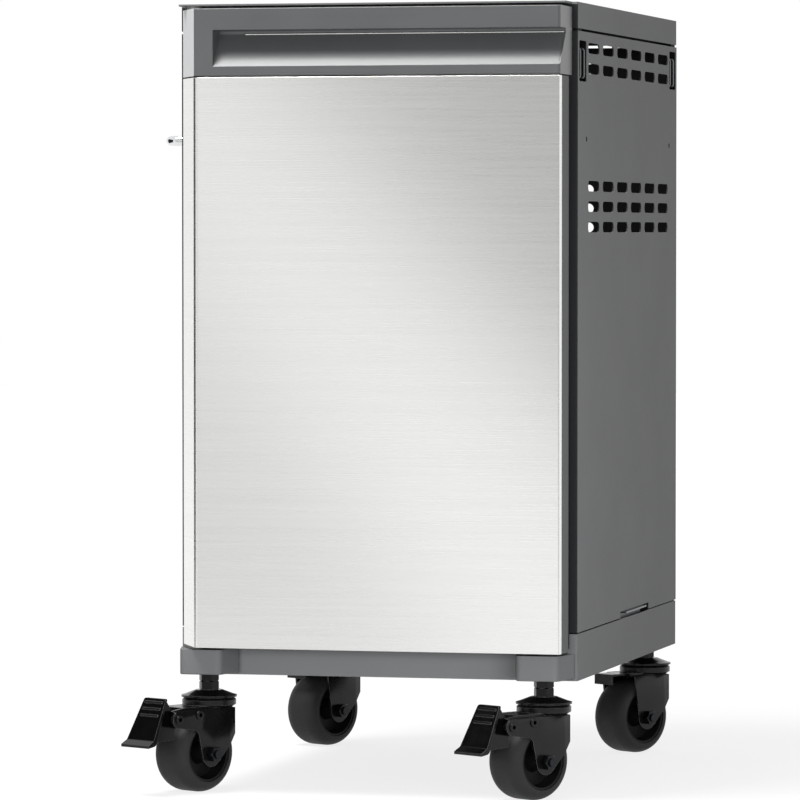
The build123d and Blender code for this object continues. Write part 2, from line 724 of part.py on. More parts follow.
def door_plan(front_y, rear_y, inset, right_inset=0.0):
    """Corners of the door's plan between two depths, moved in from the bevel and the right side."""
    right = DOOR_RIGHT_X - right_inset
    left_front = bevel_x(front_y, inset)
    left_rear = bevel_x(rear_y, inset)
    return [(left_front, front_y), (right, front_y), (right, rear_y), (left_rear, rear_y)]


def door_skin():
    """Stainless front sheet, bent round the left bevel and turned back a little way on the right."""
    rear = DOOR_REAR_Y - SKIN_END
    outer = outline(door_plan(DOOR_FRONT_Y, rear, 0.0), {0: SKIN_BEND, 1: SKIN_RETURN_BEND})
    inner_plan = door_plan(DOOR_FRONT_Y + SKIN_SHEET, rear + OVERCUT, SKIN_SHEET, SKIN_SHEET)
    inner = outline(inner_plan, {0: SKIN_BEND - SKIN_SHEET, 1: SKIN_RETURN_BEND - SKIN_SHEET})
    beyond_return = Pos(DOOR_RIGHT_X, DOOR_FRONT_Y + SKIN_RETURN) * Rectangle(
        2 * SKIN_BEND, DOOR_THICKNESS, align=(Align.CENTER, Align.MIN)
    )
    sheet = outer - inner - beyond_return
    return Pos(0, 0, DOOR_BOTTOM_Z) * extrude(sheet, PANEL_SKIN_TOP_Z - DOOR_BOTTOM_Z)


def door_edge_trim():
    """Flat strip on the door's right edge behind the skin's return."""
    start = DOOR_FRONT_Y + SKIN_RETURN + TRIM_GAP
    right = DOOR_RIGHT_X + TRIM_PROUD
    left = DOOR_RIGHT_X - SKIN_SHEET
    return block(left, right, start, start + TRIM_WIDTH, DOOR_BOTTOM_Z, PANEL_SKIN_TOP_Z)


def door_core():
    """Tray behind the skin: front, sides, top and bottom, with a boss for the lower bush."""
    front = DOOR_FRONT_Y + SKIN_SHEET
    bends = {0: SKIN_BEND - SKIN_SHEET, 1: SKIN_RETURN_BEND - SKIN_SHEET}
    outer = outline(door_plan(front, CORE_REAR_Y, SKIN_SHEET, SKIN_SHEET), bends)
    height = PANEL_SKIN_TOP_Z - DOOR_BOTTOM_Z
    tray = Pos(0, 0, DOOR_BOTTOM_Z) * extrude(outer, height)
    wall = SKIN_SHEET + DOOR_WALL
    hollow = outline(door_plan(front + DOOR_WALL, CORE_REAR_Y + OVERCUT, wall, wall))
    tray -= Pos(0, 0, DOOR_BOTTOM_Z + DOOR_WALL) * extrude(hollow, height - 2 * DOOR_WALL)
    boss_rear = PIN_Y + BUSH_BOSS
    boss_top = DOOR_BOTTOM_Z + PIN_DEPTH
    boss = block(PIN_X - BUSH_BOSS, PIN_X + BUSH_BOSS, PIN_Y - BUSH_BOSS, boss_rear, DOOR_BOTTOM_Z, boss_top)
    room = Pos(0, 0, DOOR_BOTTOM_Z) * extrude(outline(door_plan(front, boss_rear, SKIN_SHEET)), height)
    tray += boss & room
    return tray - upright(PIN_X, PIN_Y, DOOR_BOTTOM_Z - OVERCUT, boss_top + OVERCUT, bush_seat_radius())


def bush_seat_radius():
    """Bore that a hinge bush sits in."""
    return PIN_RADIUS + BUSH_WALL + RUNNING_CLEARANCE


def door_liner():
    """Inner cover of the door, a shallow tray turned towards the core."""
    low = DOOR_BOTTOM_Z + LINER_INSET
    high = PANEL_SKIN_TOP_Z - LINER_INSET
    left_inset = SKIN_SHEET + SEAT_GAP
    plan = door_plan(CORE_REAR_Y, DOOR_REAR_Y, left_inset, LINER_INSET)
    tray = Pos(0, 0, low) * extrude(outline(plan, {3: DOOR_BEVEL_CORNER}), high - low)
    hollow = door_plan(CORE_REAR_Y - OVERCUT, DOOR_REAR_Y - SHEET, left_inset + SHEET, LINER_INSET + SHEET)
    tray -= Pos(0, 0, low + SHEET) * extrude(outline(hollow), high - low - 2 * SHEET)
    boss_right = PIN_X + BUSH_BOSS + SEAT_GAP
    boss_rear = PIN_Y + BUSH_BOSS + SEAT_GAP
    boss_top = DOOR_BOTTOM_Z + PIN_DEPTH + SEAT_GAP
    return tray - block(DOOR_LEFT_X, boss_right, CORE_REAR_Y - OVERCUT, boss_rear, low - OVERCUT, boss_top)


def recess_left():
    """Left end of the finger recess."""
    return bevel_x(DOOR_FRONT_Y, 0.0) + RECESS_LEFT_MARGIN


def handle_bar():
    """Outer form of the bar across the top of the door, with the finger recess open at the right."""
    plan = outline(door_plan(DOOR_FRONT_Y, DOOR_REAR_Y, 0.0), {3: DOOR_BEVEL_CORNER})
    bar = Pos(0, 0, BEZEL_LOW_Z) * extrude(plan, BEZEL_HEIGHT)
    face_edges = bar.faces().sort_by(Axis.Y)[0].edges()
    bar = fillet(face_edges.filter_by(Axis.X) + face_edges.sort_by(Axis.X)[-1:], BEZEL_EDGE)
    before = DOOR_FRONT_Y - OVERCUT
    section = outline(
        [
            (before, RECESS_LOW_Z),
            (DOOR_FRONT_Y, RECESS_LOW_Z),
            (RECESS_DEEP_Y, RECESS_TOP_Z - RECESS_CORNER),
            (RECESS_DEEP_Y, RECESS_TOP_Z),
            (before, RECESS_TOP_Z),
        ],
        {3: RECESS_FILLET},
    )
    length = DOOR_RIGHT_X + OVERCUT - recess_left()
    return bar - Pos(recess_left(), 0, 0) * extrude(Plane.YZ * section, length)


def end_cap_room(right):
    """Space of the bar's end cap, as far to the right as asked for."""
    return block(CAP_X, right, DOOR_FRONT_Y - OVERCUT, DOOR_REAR_Y + OVERCUT, 0, TOTAL_HEIGHT)


def handle_bezel():
    """Moulded bar with the finger recess, hollow behind and bored for the upper bush."""
    bezel = handle_bar() - end_cap_room(DOOR_RIGHT_X + OVERCUT) - handle_bead()
    cavity_top = BEZEL_TOP_Z - PIN_DEPTH - BEZEL_WALL
    cavity_front = RECESS_DEEP_Y + BEZEL_WALL
    cavity_rear = DOOR_REAR_Y - BEZEL_WALL
    cavity_left = PIN_X + BUSH_BOSS
    cavity_right = CAP_X - BEZEL_WALL
    below = BEZEL_LOW_Z - OVERCUT
    bezel -= block(cavity_left, cavity_right, cavity_front, cavity_rear, below, cavity_top)
    return bezel - upright(PIN_X, PIN_Y, BEZEL_TOP_Z - PIN_DEPTH, BEZEL_TOP_Z + OVERCUT, bush_seat_radius())


def handle_end_cap():
    """Plate that closes the bar's right end, with a fine groove round the seam."""
    cap = handle_bar() & end_cap_room(DOOR_RIGHT_X)
    return chamfer(cap.faces().sort_by(Axis.X)[0].edges(), CAP_SEAM)


def handle_bead():
    """Bright wire let into the corner at the back of the finger recess."""
    level = RECESS_TOP_Z - RECESS_CORNER
    start = recess_left() + BEAD_START
    return rod((start, RECESS_DEEP_Y, level), (CAP_X, RECESS_DEEP_Y, level), BEAD_RADIUS)


def hinge_bushes():
    """Plain bushes in the bezel's top and the core's bottom."""
    bore = PIN_RADIUS + RUNNING_CLEARANCE
    bushes = []
    for z0 in (DOOR_BOTTOM_Z, BEZEL_TOP_Z - PIN_DEPTH):
        z1 = z0 + PIN_DEPTH
        bush = upright(PIN_X, PIN_Y, z0, z1, PIN_RADIUS + BUSH_WALL)
        bushes.append(bush - upright(PIN_X, PIN_Y, z0 - OVERCUT, z1 + OVERCUT, bore))
    return bushes


def hinge_pins():
    """Pivot pins: one up from the left foot, one down from the top lip."""
    low = upright(PIN_X, PIN_Y, FOOT_TOP_Z - PIN_SEAT, DOOR_BOTTOM_Z + PIN_DEPTH - SEAT_GAP, PIN_RADIUS)
    high = upright(PIN_X, PIN_Y, BEZEL_TOP_Z - PIN_DEPTH + SEAT_GAP, TOTAL_HEIGHT, PIN_RADIUS)
    return [low, high]


def hinge_washers():
    """Wear washers on the pins, under the door and over it."""
    levels = (
        (FOOT_TOP_Z, DOOR_BOTTOM_Z - SEAT_GAP),
        (BEZEL_TOP_Z + SEAT_GAP, LIP_UNDER_Z),
    )
    bore = PIN_RADIUS + RUNNING_CLEARANCE
    washers = []
    for z0, z1 in levels:
        washer = upright(PIN_X, PIN_Y, z0, z1, PIN_RADIUS + 2 * BUSH_WALL)
        washers.append(washer - upright(PIN_X, PIN_Y, z0 - OVERCUT, z1 + OVERCUT, bore))
    return washers


def magnet_catch():
    """Magnet block on the right front flange, just clear of the striker."""
    right = HALF_WIDTH - FRONT_FLANGE + CATCH_WIDTH
    front = DOOR_REAR_Y + STRIKER_SHEET + SEAT_GAP
    body = block(right - CATCH_WIDTH, right, front, FRONT_Y, CATCH_LEVEL, CATCH_LEVEL + CATCH_HEIGHT)
    return fillet(body.edges().filter_by(Axis.Y), SHEET)


def striker_plate():
    """Steel plate on the door's inner cover that the magnet holds."""
    left = HALF_WIDTH - FRONT_FLANGE
    rear = DOOR_REAR_Y + STRIKER_SHEET
    return block(left, left + CATCH_WIDTH, DOOR_REAR_Y, rear, CATCH_LEVEL, CATCH_LEVEL + CATCH_HEIGHT)


def caster_stem():
    """Threaded stud, hexagon, domed swivel head and the kingpin that carries the fork."""
    stud = upright(0, 0, STEM_HEX_Z, CASTER_SEAT_Z + STUD_IN_INSERT, STUD_RADIUS)
    stud = chamfer(stud.edges().sort_by(Axis.Z)[-1:], NUT_CHAMFER)
    section = outline(
        [
            (0, STEM_HEX_Z),
            (HEAD_CROWN_RADIUS, STEM_HEX_Z),
            (HEAD_RADIUS - HEAD_LIP, HEAD_Z + HEAD_HEIGHT / 2),
            (HEAD_RADIUS, HEAD_Z + HEAD_HEIGHT / 3),
            (HEAD_RADIUS, HEAD_Z + HEAD_HEIGHT / 10),
            (HEAD_RADIUS - HEAD_UNDERCUT, HEAD_Z),
            (0, HEAD_Z),
        ],
        {2: HEAD_UNDERCUT},
    )
    head = revolve(Plane.XZ * section, Axis.Z)
    pin_low = FORK_TOP_Z - FORK_SHEET - SEAT_GAP
    kingpin = upright(0, 0, pin_low, HEAD_Z, KINGPIN_RADIUS)
    kingpin += upright(0, 0, pin_low - KINGPIN_HEAD_HEIGHT, pin_low, KINGPIN_HEAD_RADIUS)
    return stud + hex_prism(STEM_HEX_Z, NUT_HEIGHT, NUT_FLATS) + head + kingpin


def fork_cheek_profile(braked):
    """Side view of a fork: tapered leg round the axle, with a nose for the brake lever."""
    axle_z = WHEEL_RADIUS
    end = FORK_END_RADIUS
    leg_front = TRAIL + end * 0.95
    leg = [
        (-FORK_BACK, FORK_TOP_Z),
        (-FORK_BACK, FORK_TOP_Z - FORK_BACK_DROP),
        (TRAIL - end * 2.2, axle_z + end * 0.75),
        (TRAIL - end * 0.7, axle_z - end * 0.714),
        (leg_front, axle_z - end * 0.31),
    ]
    if braked:
        leg += [
            (leg_front + end / 2, NOSE_Z - 1.5 * NOSE_RADIUS),
            (NOSE_REACH, NOSE_Z - NOSE_RADIUS),
            (NOSE_REACH, NOSE_Z + NOSE_RADIUS),
            (brake_web_end(), FORK_TOP_Z),
        ]
        face = outline(leg, {1: FORK_BACK_BEND, 5: FORK_CROTCH_BEND})
        face += Pos(NOSE_REACH, NOSE_Z) * Circle(NOSE_RADIUS)
    else:
        face = outline(leg + [(leg_front + end / 2, FORK_TOP_Z)], {1: FORK_BACK_BEND})
    return face + Pos(TRAIL, axle_z) * Circle(end)


def brake_web_end():
    """Front end of a braked fork's top web, behind the pedal's swing."""
    return NOSE_REACH * 0.78


def fork_plan(half_width, shift):
    """Plan of a fork's cheeks and back, open to the front."""
    reach = NOSE_REACH + 2 * NOSE_RADIUS
    bends = ((-FORK_SHOULDER, 0.0), (-FORK_TUCK_AT, FORK_TUCK), (-FORK_BACK, FORK_BACK_TUCK))
    side = [(u + shift, half_width - tuck) for u, tuck in bends]
    far_side = [(u, -v) for u, v in reversed(side)]
    return outline([(reach, half_width)] + side + far_side + [(reach, -half_width)])


def fork(braked):
    """Stamped yoke: dished top race, two cheeks joined by a back web, and a tongue or a brake nose."""
    half = FORK_OUTSIDE / 2
    outer_plan = fork_plan(half, 0.0)
    walls = extrude(outer_plan - fork_plan(FORK_INSIDE / 2, FORK_SHEET), FORK_TOP_Z)
    yoke = walls & extrude(Plane.XZ * fork_cheek_profile(braked), half, both=True)
    web_low = FORK_TOP_Z - FORK_SHEET
    plate = outer_plan & Rectangle(2 * FORK_DISH_RADIUS, FORK_OUTSIDE)
    yoke += Pos(0, 0, web_low) * extrude(plate, FORK_SHEET)
    holes = [(TRAIL, WHEEL_RADIUS, AXLE_RADIUS)]
    if braked:
        yoke += block(0, brake_web_end(), -half, half, web_low, FORK_TOP_Z)
        holes += [(NOSE_REACH, NOSE_Z, RIVET_RADIUS), (SPACER_REACH, SPACER_Z, RIVET_RADIUS)]
    else:
        tongue = TONGUE_WIDTH / 2
        lip_low = FORK_TOP_Z - TONGUE_DROP
        yoke += block(0, TONGUE_REACH, -tongue, tongue, web_low, FORK_TOP_Z)
        yoke += block(TONGUE_REACH - FORK_SHEET, TONGUE_REACH, -tongue, tongue, lip_low, FORK_TOP_Z)
    dish = outline(
        [
            (0, web_low),
            (FORK_DISH_RADIUS - DISH_FLARE, web_low),
            (FORK_DISH_RADIUS, FORK_TOP_Z),
            (FORK_DISH_RADIUS, DISH_TOP_Z - DISH_EDGE),
            (FORK_DISH_RADIUS - DISH_EDGE, DISH_TOP_Z),
            (0, DISH_TOP_Z),
        ]
    )
    yoke += revolve(Plane.XZ * dish, Axis.Z)
    yoke -= upright(0, 0, web_low - OVERCUT, DISH_TOP_Z + OVERCUT, KINGPIN_RADIUS + RUNNING_CLEARANCE)
    for u, z, radius in holes:
        yoke -= across(u, z, half + OVERCUT, radius + RUNNING_CLEARANCE)
    return yoke


def axle_bolt():
    """Bolt and nut that carry a wheel between the fork's cheeks."""
    half = FORK_OUTSIDE / 2
    nut_end = half + AXLE_NUT_HEIGHT
    bolt = upright(0, 0, -half, nut_end + AXLE_END, AXLE_RADIUS)
    bolt += hex_prism(-half - AXLE_HEAD_HEIGHT, AXLE_HEAD_HEIGHT, AXLE_HEAD_FLATS)
    nut = hex_prism(half, AXLE_NUT_HEIGHT, AXLE_HEAD_FLATS)
    nut -= upright(0, 0, half - OVERCUT, nut_end + OVERCUT, AXLE_RADIUS + RUNNING_CLEARANCE)
    turn = Rot(-90, 0, 0)
    return [Pos(TRAIL, 0, WHEEL_RADIUS) * (turn * piece) for piece in (bolt, nut)]


def wheel_tyre():
    """Ring with round shoulders."""
    half = TREAD_WIDTH / 2
    section = outline(
        [(RIM_RADIUS, -half), (WHEEL_RADIUS, -half), (WHEEL_RADIUS, half), (RIM_RADIUS, half)],
        {1: TREAD_SHOULDER, 2: TREAD_SHOULDER},
    )
    return Pos(TRAIL, 0, WHEEL_RADIUS) * revolve(section, Axis.Y)


def wheel_hub():
    """Rim, recessed web and hub barrel that turns on the axle bolt."""
    rim_half = TREAD_WIDTH / 2 - RIM_INSET
    web_half = WEB_THICKNESS / 2
    barrel_half = FORK_INSIDE / 2 - SEAT_GAP
    edge = RIM_RADIUS - RUNNING_CLEARANCE
    near_side = [
        (AXLE_RADIUS + RUNNING_CLEARANCE, barrel_half),
        (HUB_RADIUS, barrel_half),
        (HUB_RADIUS, web_half),
        (edge - RIM_WALL, web_half),
        (edge - RIM_WALL, rim_half),
        (edge, rim_half),
    ]
    far_side = [(r, -v) for r, v in reversed(near_side)]
    rounding = {index: RIM_FILLET for index in (2, 3, 8, 9)}
    section = outline(near_side + far_side, rounding)
    return Pos(TRAIL, 0, WHEEL_RADIUS) * revolve(section, Axis.Y)


def brake_rivets():
    """Tubular rivets across the fork's nose: the lever's pivot and a spacer."""
    half = FORK_OUTSIDE / 2
    rivets = []
    for u, z in ((NOSE_REACH, NOSE_Z), (SPACER_REACH, SPACER_Z)):
        rivet = across(u, z, half, RIVET_RADIUS)
        for side in (-1, 1):
            head = rod((u, side * half, z), (u, side * (half + RIVET_HEAD_HEIGHT), z), RIVET_HEAD_RADIUS)
            rims = head.edges().filter_by(GeomType.CIRCLE).sort_by(Axis.Y)
            rivet += fillet(rims[0] if side < 0 else rims[-1], RIVET_HEAD_ROUND)
        rivets.append(rivet - across(u, z, half + RIVET_HEAD_HEIGHT + OVERCUT, RIVET_HOLLOW))
    return rivets


def from_pivot(*points):
    """Points given from the brake lever's pivot, in the caster's side view."""
    return [(NOSE_REACH + u, NOSE_Z + z) for u, z in points]


def brake_pedal():
    """Foot lever: ridged tread with a turned-out lip, two ears on the pivot and a brake shoe."""
    ear_half = FORK_INSIDE / 2 - 2 * SEAT_GAP
    half_top = PEDAL_TOP_WIDTH / 2
    half_low = PEDAL_LOW_WIDTH / 2
    lip_out = PEDAL_LOW_OUT + PEDAL_LIP_OUT
    lip_low = -PEDAL_LOW_DROP - PEDAL_LIP_DROP
    bent_sheet = outline(
        from_pivot(
            (PEDAL_TOP_OUT, PEDAL_TOP_RISE),
            (PEDAL_LOW_OUT, -PEDAL_LOW_DROP + PEDAL_SHEET),
            (lip_out, lip_low + PEDAL_SHEET),
            (lip_out, lip_low),
            (PEDAL_LOW_OUT - PEDAL_SHEET, -PEDAL_LOW_DROP - PEDAL_SHEET),
            (PEDAL_TOP_OUT - PEDAL_SHEET, PEDAL_TOP_RISE),
        ),
        {1: PEDAL_SHEET, 4: 2 * PEDAL_SHEET},
    )
    top_z = NOSE_Z + PEDAL_TOP_RISE
    low_z = NOSE_Z - PEDAL_LOW_DROP
    lip_z = NOSE_Z + lip_low
    front_view = outline(
        [
            (-half_top, top_z),
            (half_top, top_z),
            (half_low, low_z),
            (half_low, lip_z),
            (-half_low, lip_z),
            (-half_low, low_z),
        ],
        {0: PEDAL_CORNER, 1: PEDAL_CORNER},
    )
    tapered = extrude(Plane.YZ * front_view, 2 * NOSE_REACH)
    pedal = extrude(Plane.XZ * bent_sheet, half_low, both=True) & tapered
    run = PEDAL_LOW_OUT - PEDAL_TOP_OUT
    fall = PEDAL_LOW_DROP + PEDAL_TOP_RISE
    for ridge in range(PEDAL_RIDGES):
        share = RIDGE_PITCH * (ridge + 0.6) / fall
        u, z = from_pivot((PEDAL_TOP_OUT + run * share, PEDAL_TOP_RISE - fall * share))[0]
        pedal += across(u, z, half_top - PEDAL_CORNER, RIDGE_RADIUS)
    ear = outline(
        from_pivot(
            (-EAR_RADIUS * 0.7, -EAR_RADIUS / 2),
            (0, EAR_RADIUS),
            (PEDAL_TOP_OUT - PEDAL_SHEET / 2, PEDAL_TOP_RISE - PEDAL_CORNER),
            (PEDAL_LOW_OUT - PEDAL_SHEET / 2, -PEDAL_LOW_DROP),
            (-SHOE_BACK / 2, -SHOE_DROP),
        )
    )
    ear += Pos(NOSE_REACH, NOSE_Z) * Circle(EAR_RADIUS)
    ears = extrude(Plane.XZ * ear, ear_half, both=True)
    between = ear_half - FORK_SHEET
    pedal += ears - block(0, 2 * NOSE_REACH, -between, between, 0, TOTAL_HEIGHT)
    shoe = outline(
        from_pivot(
            (PEDAL_LOW_OUT / 2, SHOE_SHEET - SHOE_DROP + PEDAL_SHEET),
            (-SHOE_BACK, SHOE_SHEET - SHOE_DROP),
            (-SHOE_BACK, -SHOE_DROP),
            (PEDAL_LOW_OUT / 2, PEDAL_SHEET - SHOE_DROP),
        )
    )
    pedal += extrude(Plane.XZ * shoe, ear_half, both=True)
    return pedal - across(NOSE_REACH, NOSE_Z, ear_half + OVERCUT, RIVET_RADIUS + RUNNING_CLEARANCE)


def caster_nodes():
    """Every caster piece by node name, turned and moved to its corner."""
    nodes = {}
    for corner, (x, y, turn) in CASTERS.items():
        place = Pos(x, y, 0) * Rot(0, 0, turn)
        braked = corner in BRAKED
        pieces = {
            "caster_stem": [caster_stem()],
            "caster_fork": [fork(braked)],
            "axle_bolt": axle_bolt(),
            "wheel_tyre": [wheel_tyre()],
            "wheel_hub": [wheel_hub()],
        }
        if braked:
            pieces["brake_rivets"] = brake_rivets()
            pieces["brake_pedal"] = [brake_pedal()]
        for name, solids in pieces.items():
            nodes[f"{name}_{corner}"] = [place * solid for solid in solids]
    return nodes


def all_nodes():
    """Every node of the cabinet as a list of solids."""
    right_side, left_side = both_sides(side_panel())
    front_right, front_left = both_sides(corner_post(front=True))
    rear_right, rear_left = both_sides(corner_post(front=False))
    nodes = {
        "base_pan": [base_pan()],
        "base_floor": [base_floor()],
        "top_frame": [top_frame()],
        "side_panel_left": [left_side],
        "side_panel_right": [right_side],
        "back_panel": [back_panel()],
        "back_screws": back_screws(),
        "corner_post_front_left": [front_left],
        "corner_post_front_right": [front_right],
        "corner_post_rear_left": [rear_left],
        "corner_post_rear_right": [rear_right],
        "link_brackets": link_brackets(),
        "link_staples": link_staples(),
        "link_tabs": link_tabs(),
        "towel_bar": [towel_bar()],
        "towel_bar_nuts": towel_bar_nuts(),
        "foot_block_left": [left_foot_block()],
        "foot_block_right": [foot_block()],
        "foot_screws": foot_screws(),
        "rear_caster_plates": rear_caster_plates(),
        "caster_inserts": caster_inserts(),
        "jam_nuts": jam_nuts(),
        "hinge_pins": hinge_pins(),
        "hinge_washers": hinge_washers(),
        "magnet_catch": [magnet_catch()],
        "door_skin": [door_skin()],
        "door_core": [door_core()],
        "door_liner": [door_liner()],
        "door_edge_trim": [door_edge_trim()],
        "handle_bezel": [handle_bezel()],
        "handle_end_cap": [handle_end_cap()],
        "handle_bead": [handle_bead()],
        "hinge_bushes": hinge_bushes(),
        "striker_plate": [striker_plate()],
    }
    nodes.update(caster_nodes())
    return nodes


def main():
    os.makedirs("parts", exist_ok=True)
    for name, pieces in all_nodes().items():
        solids = [solid for piece in pieces for solid in piece.solids()]
        export_step(Compound(children=solids), f"parts/{name}.step")


main()
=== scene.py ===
"""Finishes, light and camera for a grill base cabinet on levelling casters.

Laid out as a Blender add-on and run as a script. Metres; X to the right, Y to the back, Z up.
"""
import json
from math import copysign, radians

import bmesh
import bpy
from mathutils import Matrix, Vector


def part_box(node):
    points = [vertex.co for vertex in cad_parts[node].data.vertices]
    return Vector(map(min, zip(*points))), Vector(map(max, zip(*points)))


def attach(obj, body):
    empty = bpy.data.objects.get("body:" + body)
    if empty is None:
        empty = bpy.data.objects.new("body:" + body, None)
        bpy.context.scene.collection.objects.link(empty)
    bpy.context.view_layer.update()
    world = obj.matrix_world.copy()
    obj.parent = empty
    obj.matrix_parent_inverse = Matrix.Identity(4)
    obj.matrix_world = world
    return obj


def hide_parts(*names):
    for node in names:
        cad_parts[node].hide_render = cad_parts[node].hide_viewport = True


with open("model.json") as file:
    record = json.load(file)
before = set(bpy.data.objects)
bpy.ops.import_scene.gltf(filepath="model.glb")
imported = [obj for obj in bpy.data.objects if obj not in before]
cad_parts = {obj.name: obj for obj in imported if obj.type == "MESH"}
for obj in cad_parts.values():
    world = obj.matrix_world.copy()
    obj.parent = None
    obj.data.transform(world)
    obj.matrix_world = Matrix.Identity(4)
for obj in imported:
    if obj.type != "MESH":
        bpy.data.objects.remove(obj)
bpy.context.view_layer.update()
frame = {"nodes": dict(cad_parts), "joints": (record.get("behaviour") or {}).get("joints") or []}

bl_info = {
    "name": "Grill Base Cabinet Looks",
    "version": (1, 0, 0),
    "blender": (4, 5, 0),
    "location": "3D View > Sidebar > Grill Cabinet",
    "description": "Gives the grill base cabinet its finishes, studio stage and camera",
    "category": "Object",
}

CORNERS = ("front_left", "front_right", "rear_left", "rear_right")
BRAKED_CORNERS = ("front_left", "front_right")
MILLIMETRE = 0.001
WHITE = (1.0, 1.0, 1.0, 1.0)

# Sheet of the top frame's lip; under it the faces behind the door take dark painted shade, for the shade
# behind the door.
LIP_SHEET = 2.6 * MILLIMETRE
# A face that looks at the body's middle line from further away than this takes near-black painted shade,
# for the shade inside the body.
INWARD_DISTANCE = 20.0 * MILLIMETRE
# A face looks to the front or to the left where that part of its normal is under this.
FRONTWARD = -0.5
LEFTWARD = -0.6

# Where most values of a noise pattern lie.
NOISE_SPAN = {"From Min": 0.3, "From Max": 0.7}
# Where the cosine between a rounded edge and its face lies, from the face to the edge.
EDGE_SPAN = {"From Min": 0.97, "From Max": 0.8}
# Width of the broad bands on the brushed skin, counted in brush lines.
BAND_LINES = 25.0 / 3.0

# Distances from a caster's middle along its axle: a piece stays as it is within the first of them,
# moves out whole beyond the second, and is stretched between them.
FORK_STRETCH = (15.2 * MILLIMETRE, 17.8 * MILLIMETRE)
TYRE_STRETCH = (0.0, 16.0 * MILLIMETRE)
HUB_STRETCH = (6.2 * MILLIMETRE, 9.2 * MILLIMETRE)
BOLT_STRETCH = (0.0, 15.0 * MILLIMETRE)
# Heights between which a fork passes from broad to as it is.
FORK_SHOULDER = (96.6 * MILLIMETRE, 97.4 * MILLIMETRE)
WELD_DISTANCE = 0.001 * MILLIMETRE
SHARP_EDGE = radians(30.0)

# Softboxes and the cards that the door mirrors, in metres.
LIGHT_AIM = (0.0, 0.0, 0.5)
TOP_LIGHT = {"place": (-1.2, -1.35, 4.2), "width": 1.7, "height": 1.7}
FRONT_LIGHT = {"place": (0.0, -5.0, 0.6), "width": 2.4, "height": 1.0, "mirrored": False}
SIDE_LIGHT = {"place": (0.8, -1.4, 0.25), "width": 0.6, "height": 0.4, "mirrored": False}
FRONT_CARDS_Y = -1.35
UPPER_CARD_XZ = ((-1.07, 1.75), (0.365, 0.02), (1.2, 0.02), (1.2, 1.75))
LOWER_CARD_XZ = ((-1.2, 1.5), (-0.07, 0.02), (-1.2, 0.02))
LEFT_CARD_X = -1.6
LEFT_CARD_YZ = ((-1.1, 0.06), (0.28, 0.06), (0.28, 1.3), (-1.1, 1.3))

# Distances from the cabinet between which the floor's glow rises to white, in metres.
FLOOR_FADE = {"From Min": 1.0, "From Max": 5.0}
SENSOR_WIDTH = 36.0
FAR_CLIP = 100.0


def linear(hex_colour):
    """sRGB hex colour as linear red, green and blue."""
    channels = [int(hex_colour[i:i + 2], 16) / 255 for i in (1, 3, 5)]
    return tuple(c / 12.92 if c <= 0.04045 else ((c + 0.055) / 1.055) ** 2.4 for c in channels)


def colour_property(name, description, hex_colour):
    """Colour setting for the sidebar."""
    return bpy.props.FloatVectorProperty(
        name=name,
        description=description,
        subtype="COLOR",
        size=3,
        min=0.0,
        max=1.0,
        default=linear(hex_colour),
    )


def size_property(name, description, millimetres):
    """Length setting for the sidebar."""
    return bpy.props.FloatProperty(
        name=name,
        description=description,
        subtype="DISTANCE",
        unit="LENGTH",
        precision=5,
        default=millimetres * MILLIMETRE,
    )


def strength_property(name, description, value):
    """Plain number setting for the sidebar."""
    return bpy.props.FloatProperty(name=name, description=description, default=value, min=0.0)


def place_property(name, description, point):
    """Point setting for the sidebar."""
    return bpy.props.FloatVectorProperty(
        name=name, description=description, subtype="TRANSLATION", unit="LENGTH", default=point
    )


class CabinetFinishes(bpy.types.PropertyGroup):
    """Colours and grain sizes of the cabinet's finishes."""

    graphite: colour_property("Graphite coat", "Powder coat on the body sheets", "#6e6f70")
    # Painted shade: near-black colour inside the body and on the pieces there, for the shade inside.
    inner_shade_black: colour_property("Inner painted shade", "Near-black painted shade inside the body", "#121213")
    # Painted shade: dark colour on the front flanges in the gap beside the door, for the shade in that
    # gap.
    flange_shade_black: colour_property("Flange painted shade", "Painted shade on the flanges beside the door", "#28292a")
    door_grey: colour_property("Door frame grey", "Powder coat on the door frame", "#7a7b7d")
    strip_grey: colour_property("Edge strip grey", "Extruded strip on the door's right edge", "#5c5d5e")
    bar_grey: colour_property("Bar grey", "Lacquered handle bar", "#4d4e4f")
    # Painted highlight: pale colour on the handle bar's left-facing bevel, for the light it catches.
    bevel_highlight_grey: colour_property("Bevel highlight grey", "Painted highlight on the handle bar's left bevel", "#b4b5b6")
    foot_grey: colour_property("Foot grey", "Moulded foot blocks", "#646566")
    stainless: colour_property("Stainless", "Brushed door skin and handle wire", "#eeeeec")
    chrome: colour_property("Chrome", "Towel bar plating", "#e4e6e8")
    zinc: colour_property("Zinc", "Zinc plate on fasteners and hinge pins", "#b9bbbd")
    wire_grey: colour_property("Wire grey", "Dull zinc on the link staples and tabs", "#77797b")
    caster_black: colour_property("Caster black", "Electro-coat on stems, forks and nuts", "#0b0b0c")
    # Painted highlight: lighter colour along the rounded edges of the black coat, for glints there.
    edge_highlight_grey: colour_property("Edge highlight grey", "Painted highlight along the black coat's edges", "#5a5b5d")
    bolt_black: colour_property("Bolt black", "Black zinc on axle bolts and rivets", "#303133")
    tyre_black: colour_property("Tyre black", "Caster treads", "#232324")
    hub_black: colour_property("Hub black", "Nylon hubs", "#0e0e0e")
    pedal_black: colour_property("Pedal black", "Brake pedals", "#060607")
    acetal: colour_property("Acetal", "Bushes and washers", "#6c6b67")
    magnet_black: colour_property("Magnet case", "Magnet catch", "#1c1c1d")
    peel_size: size_property("Orange peel", "Width of the powder coat's ripples", 2.2)
    brush_pitch: size_property("Brush pitch", "Spacing of the brush lines on the door skin", 1.1)
    brush_length: size_property("Brush length", "Length of one brush line on the door skin", 160.0)
    moulding_grain: size_property("Moulding grain", "Grain of the handle bar, strip and feet", 1.3)
    caster_spread: size_property("Caster spread", "How far each side of a caster stands out", 9.0)


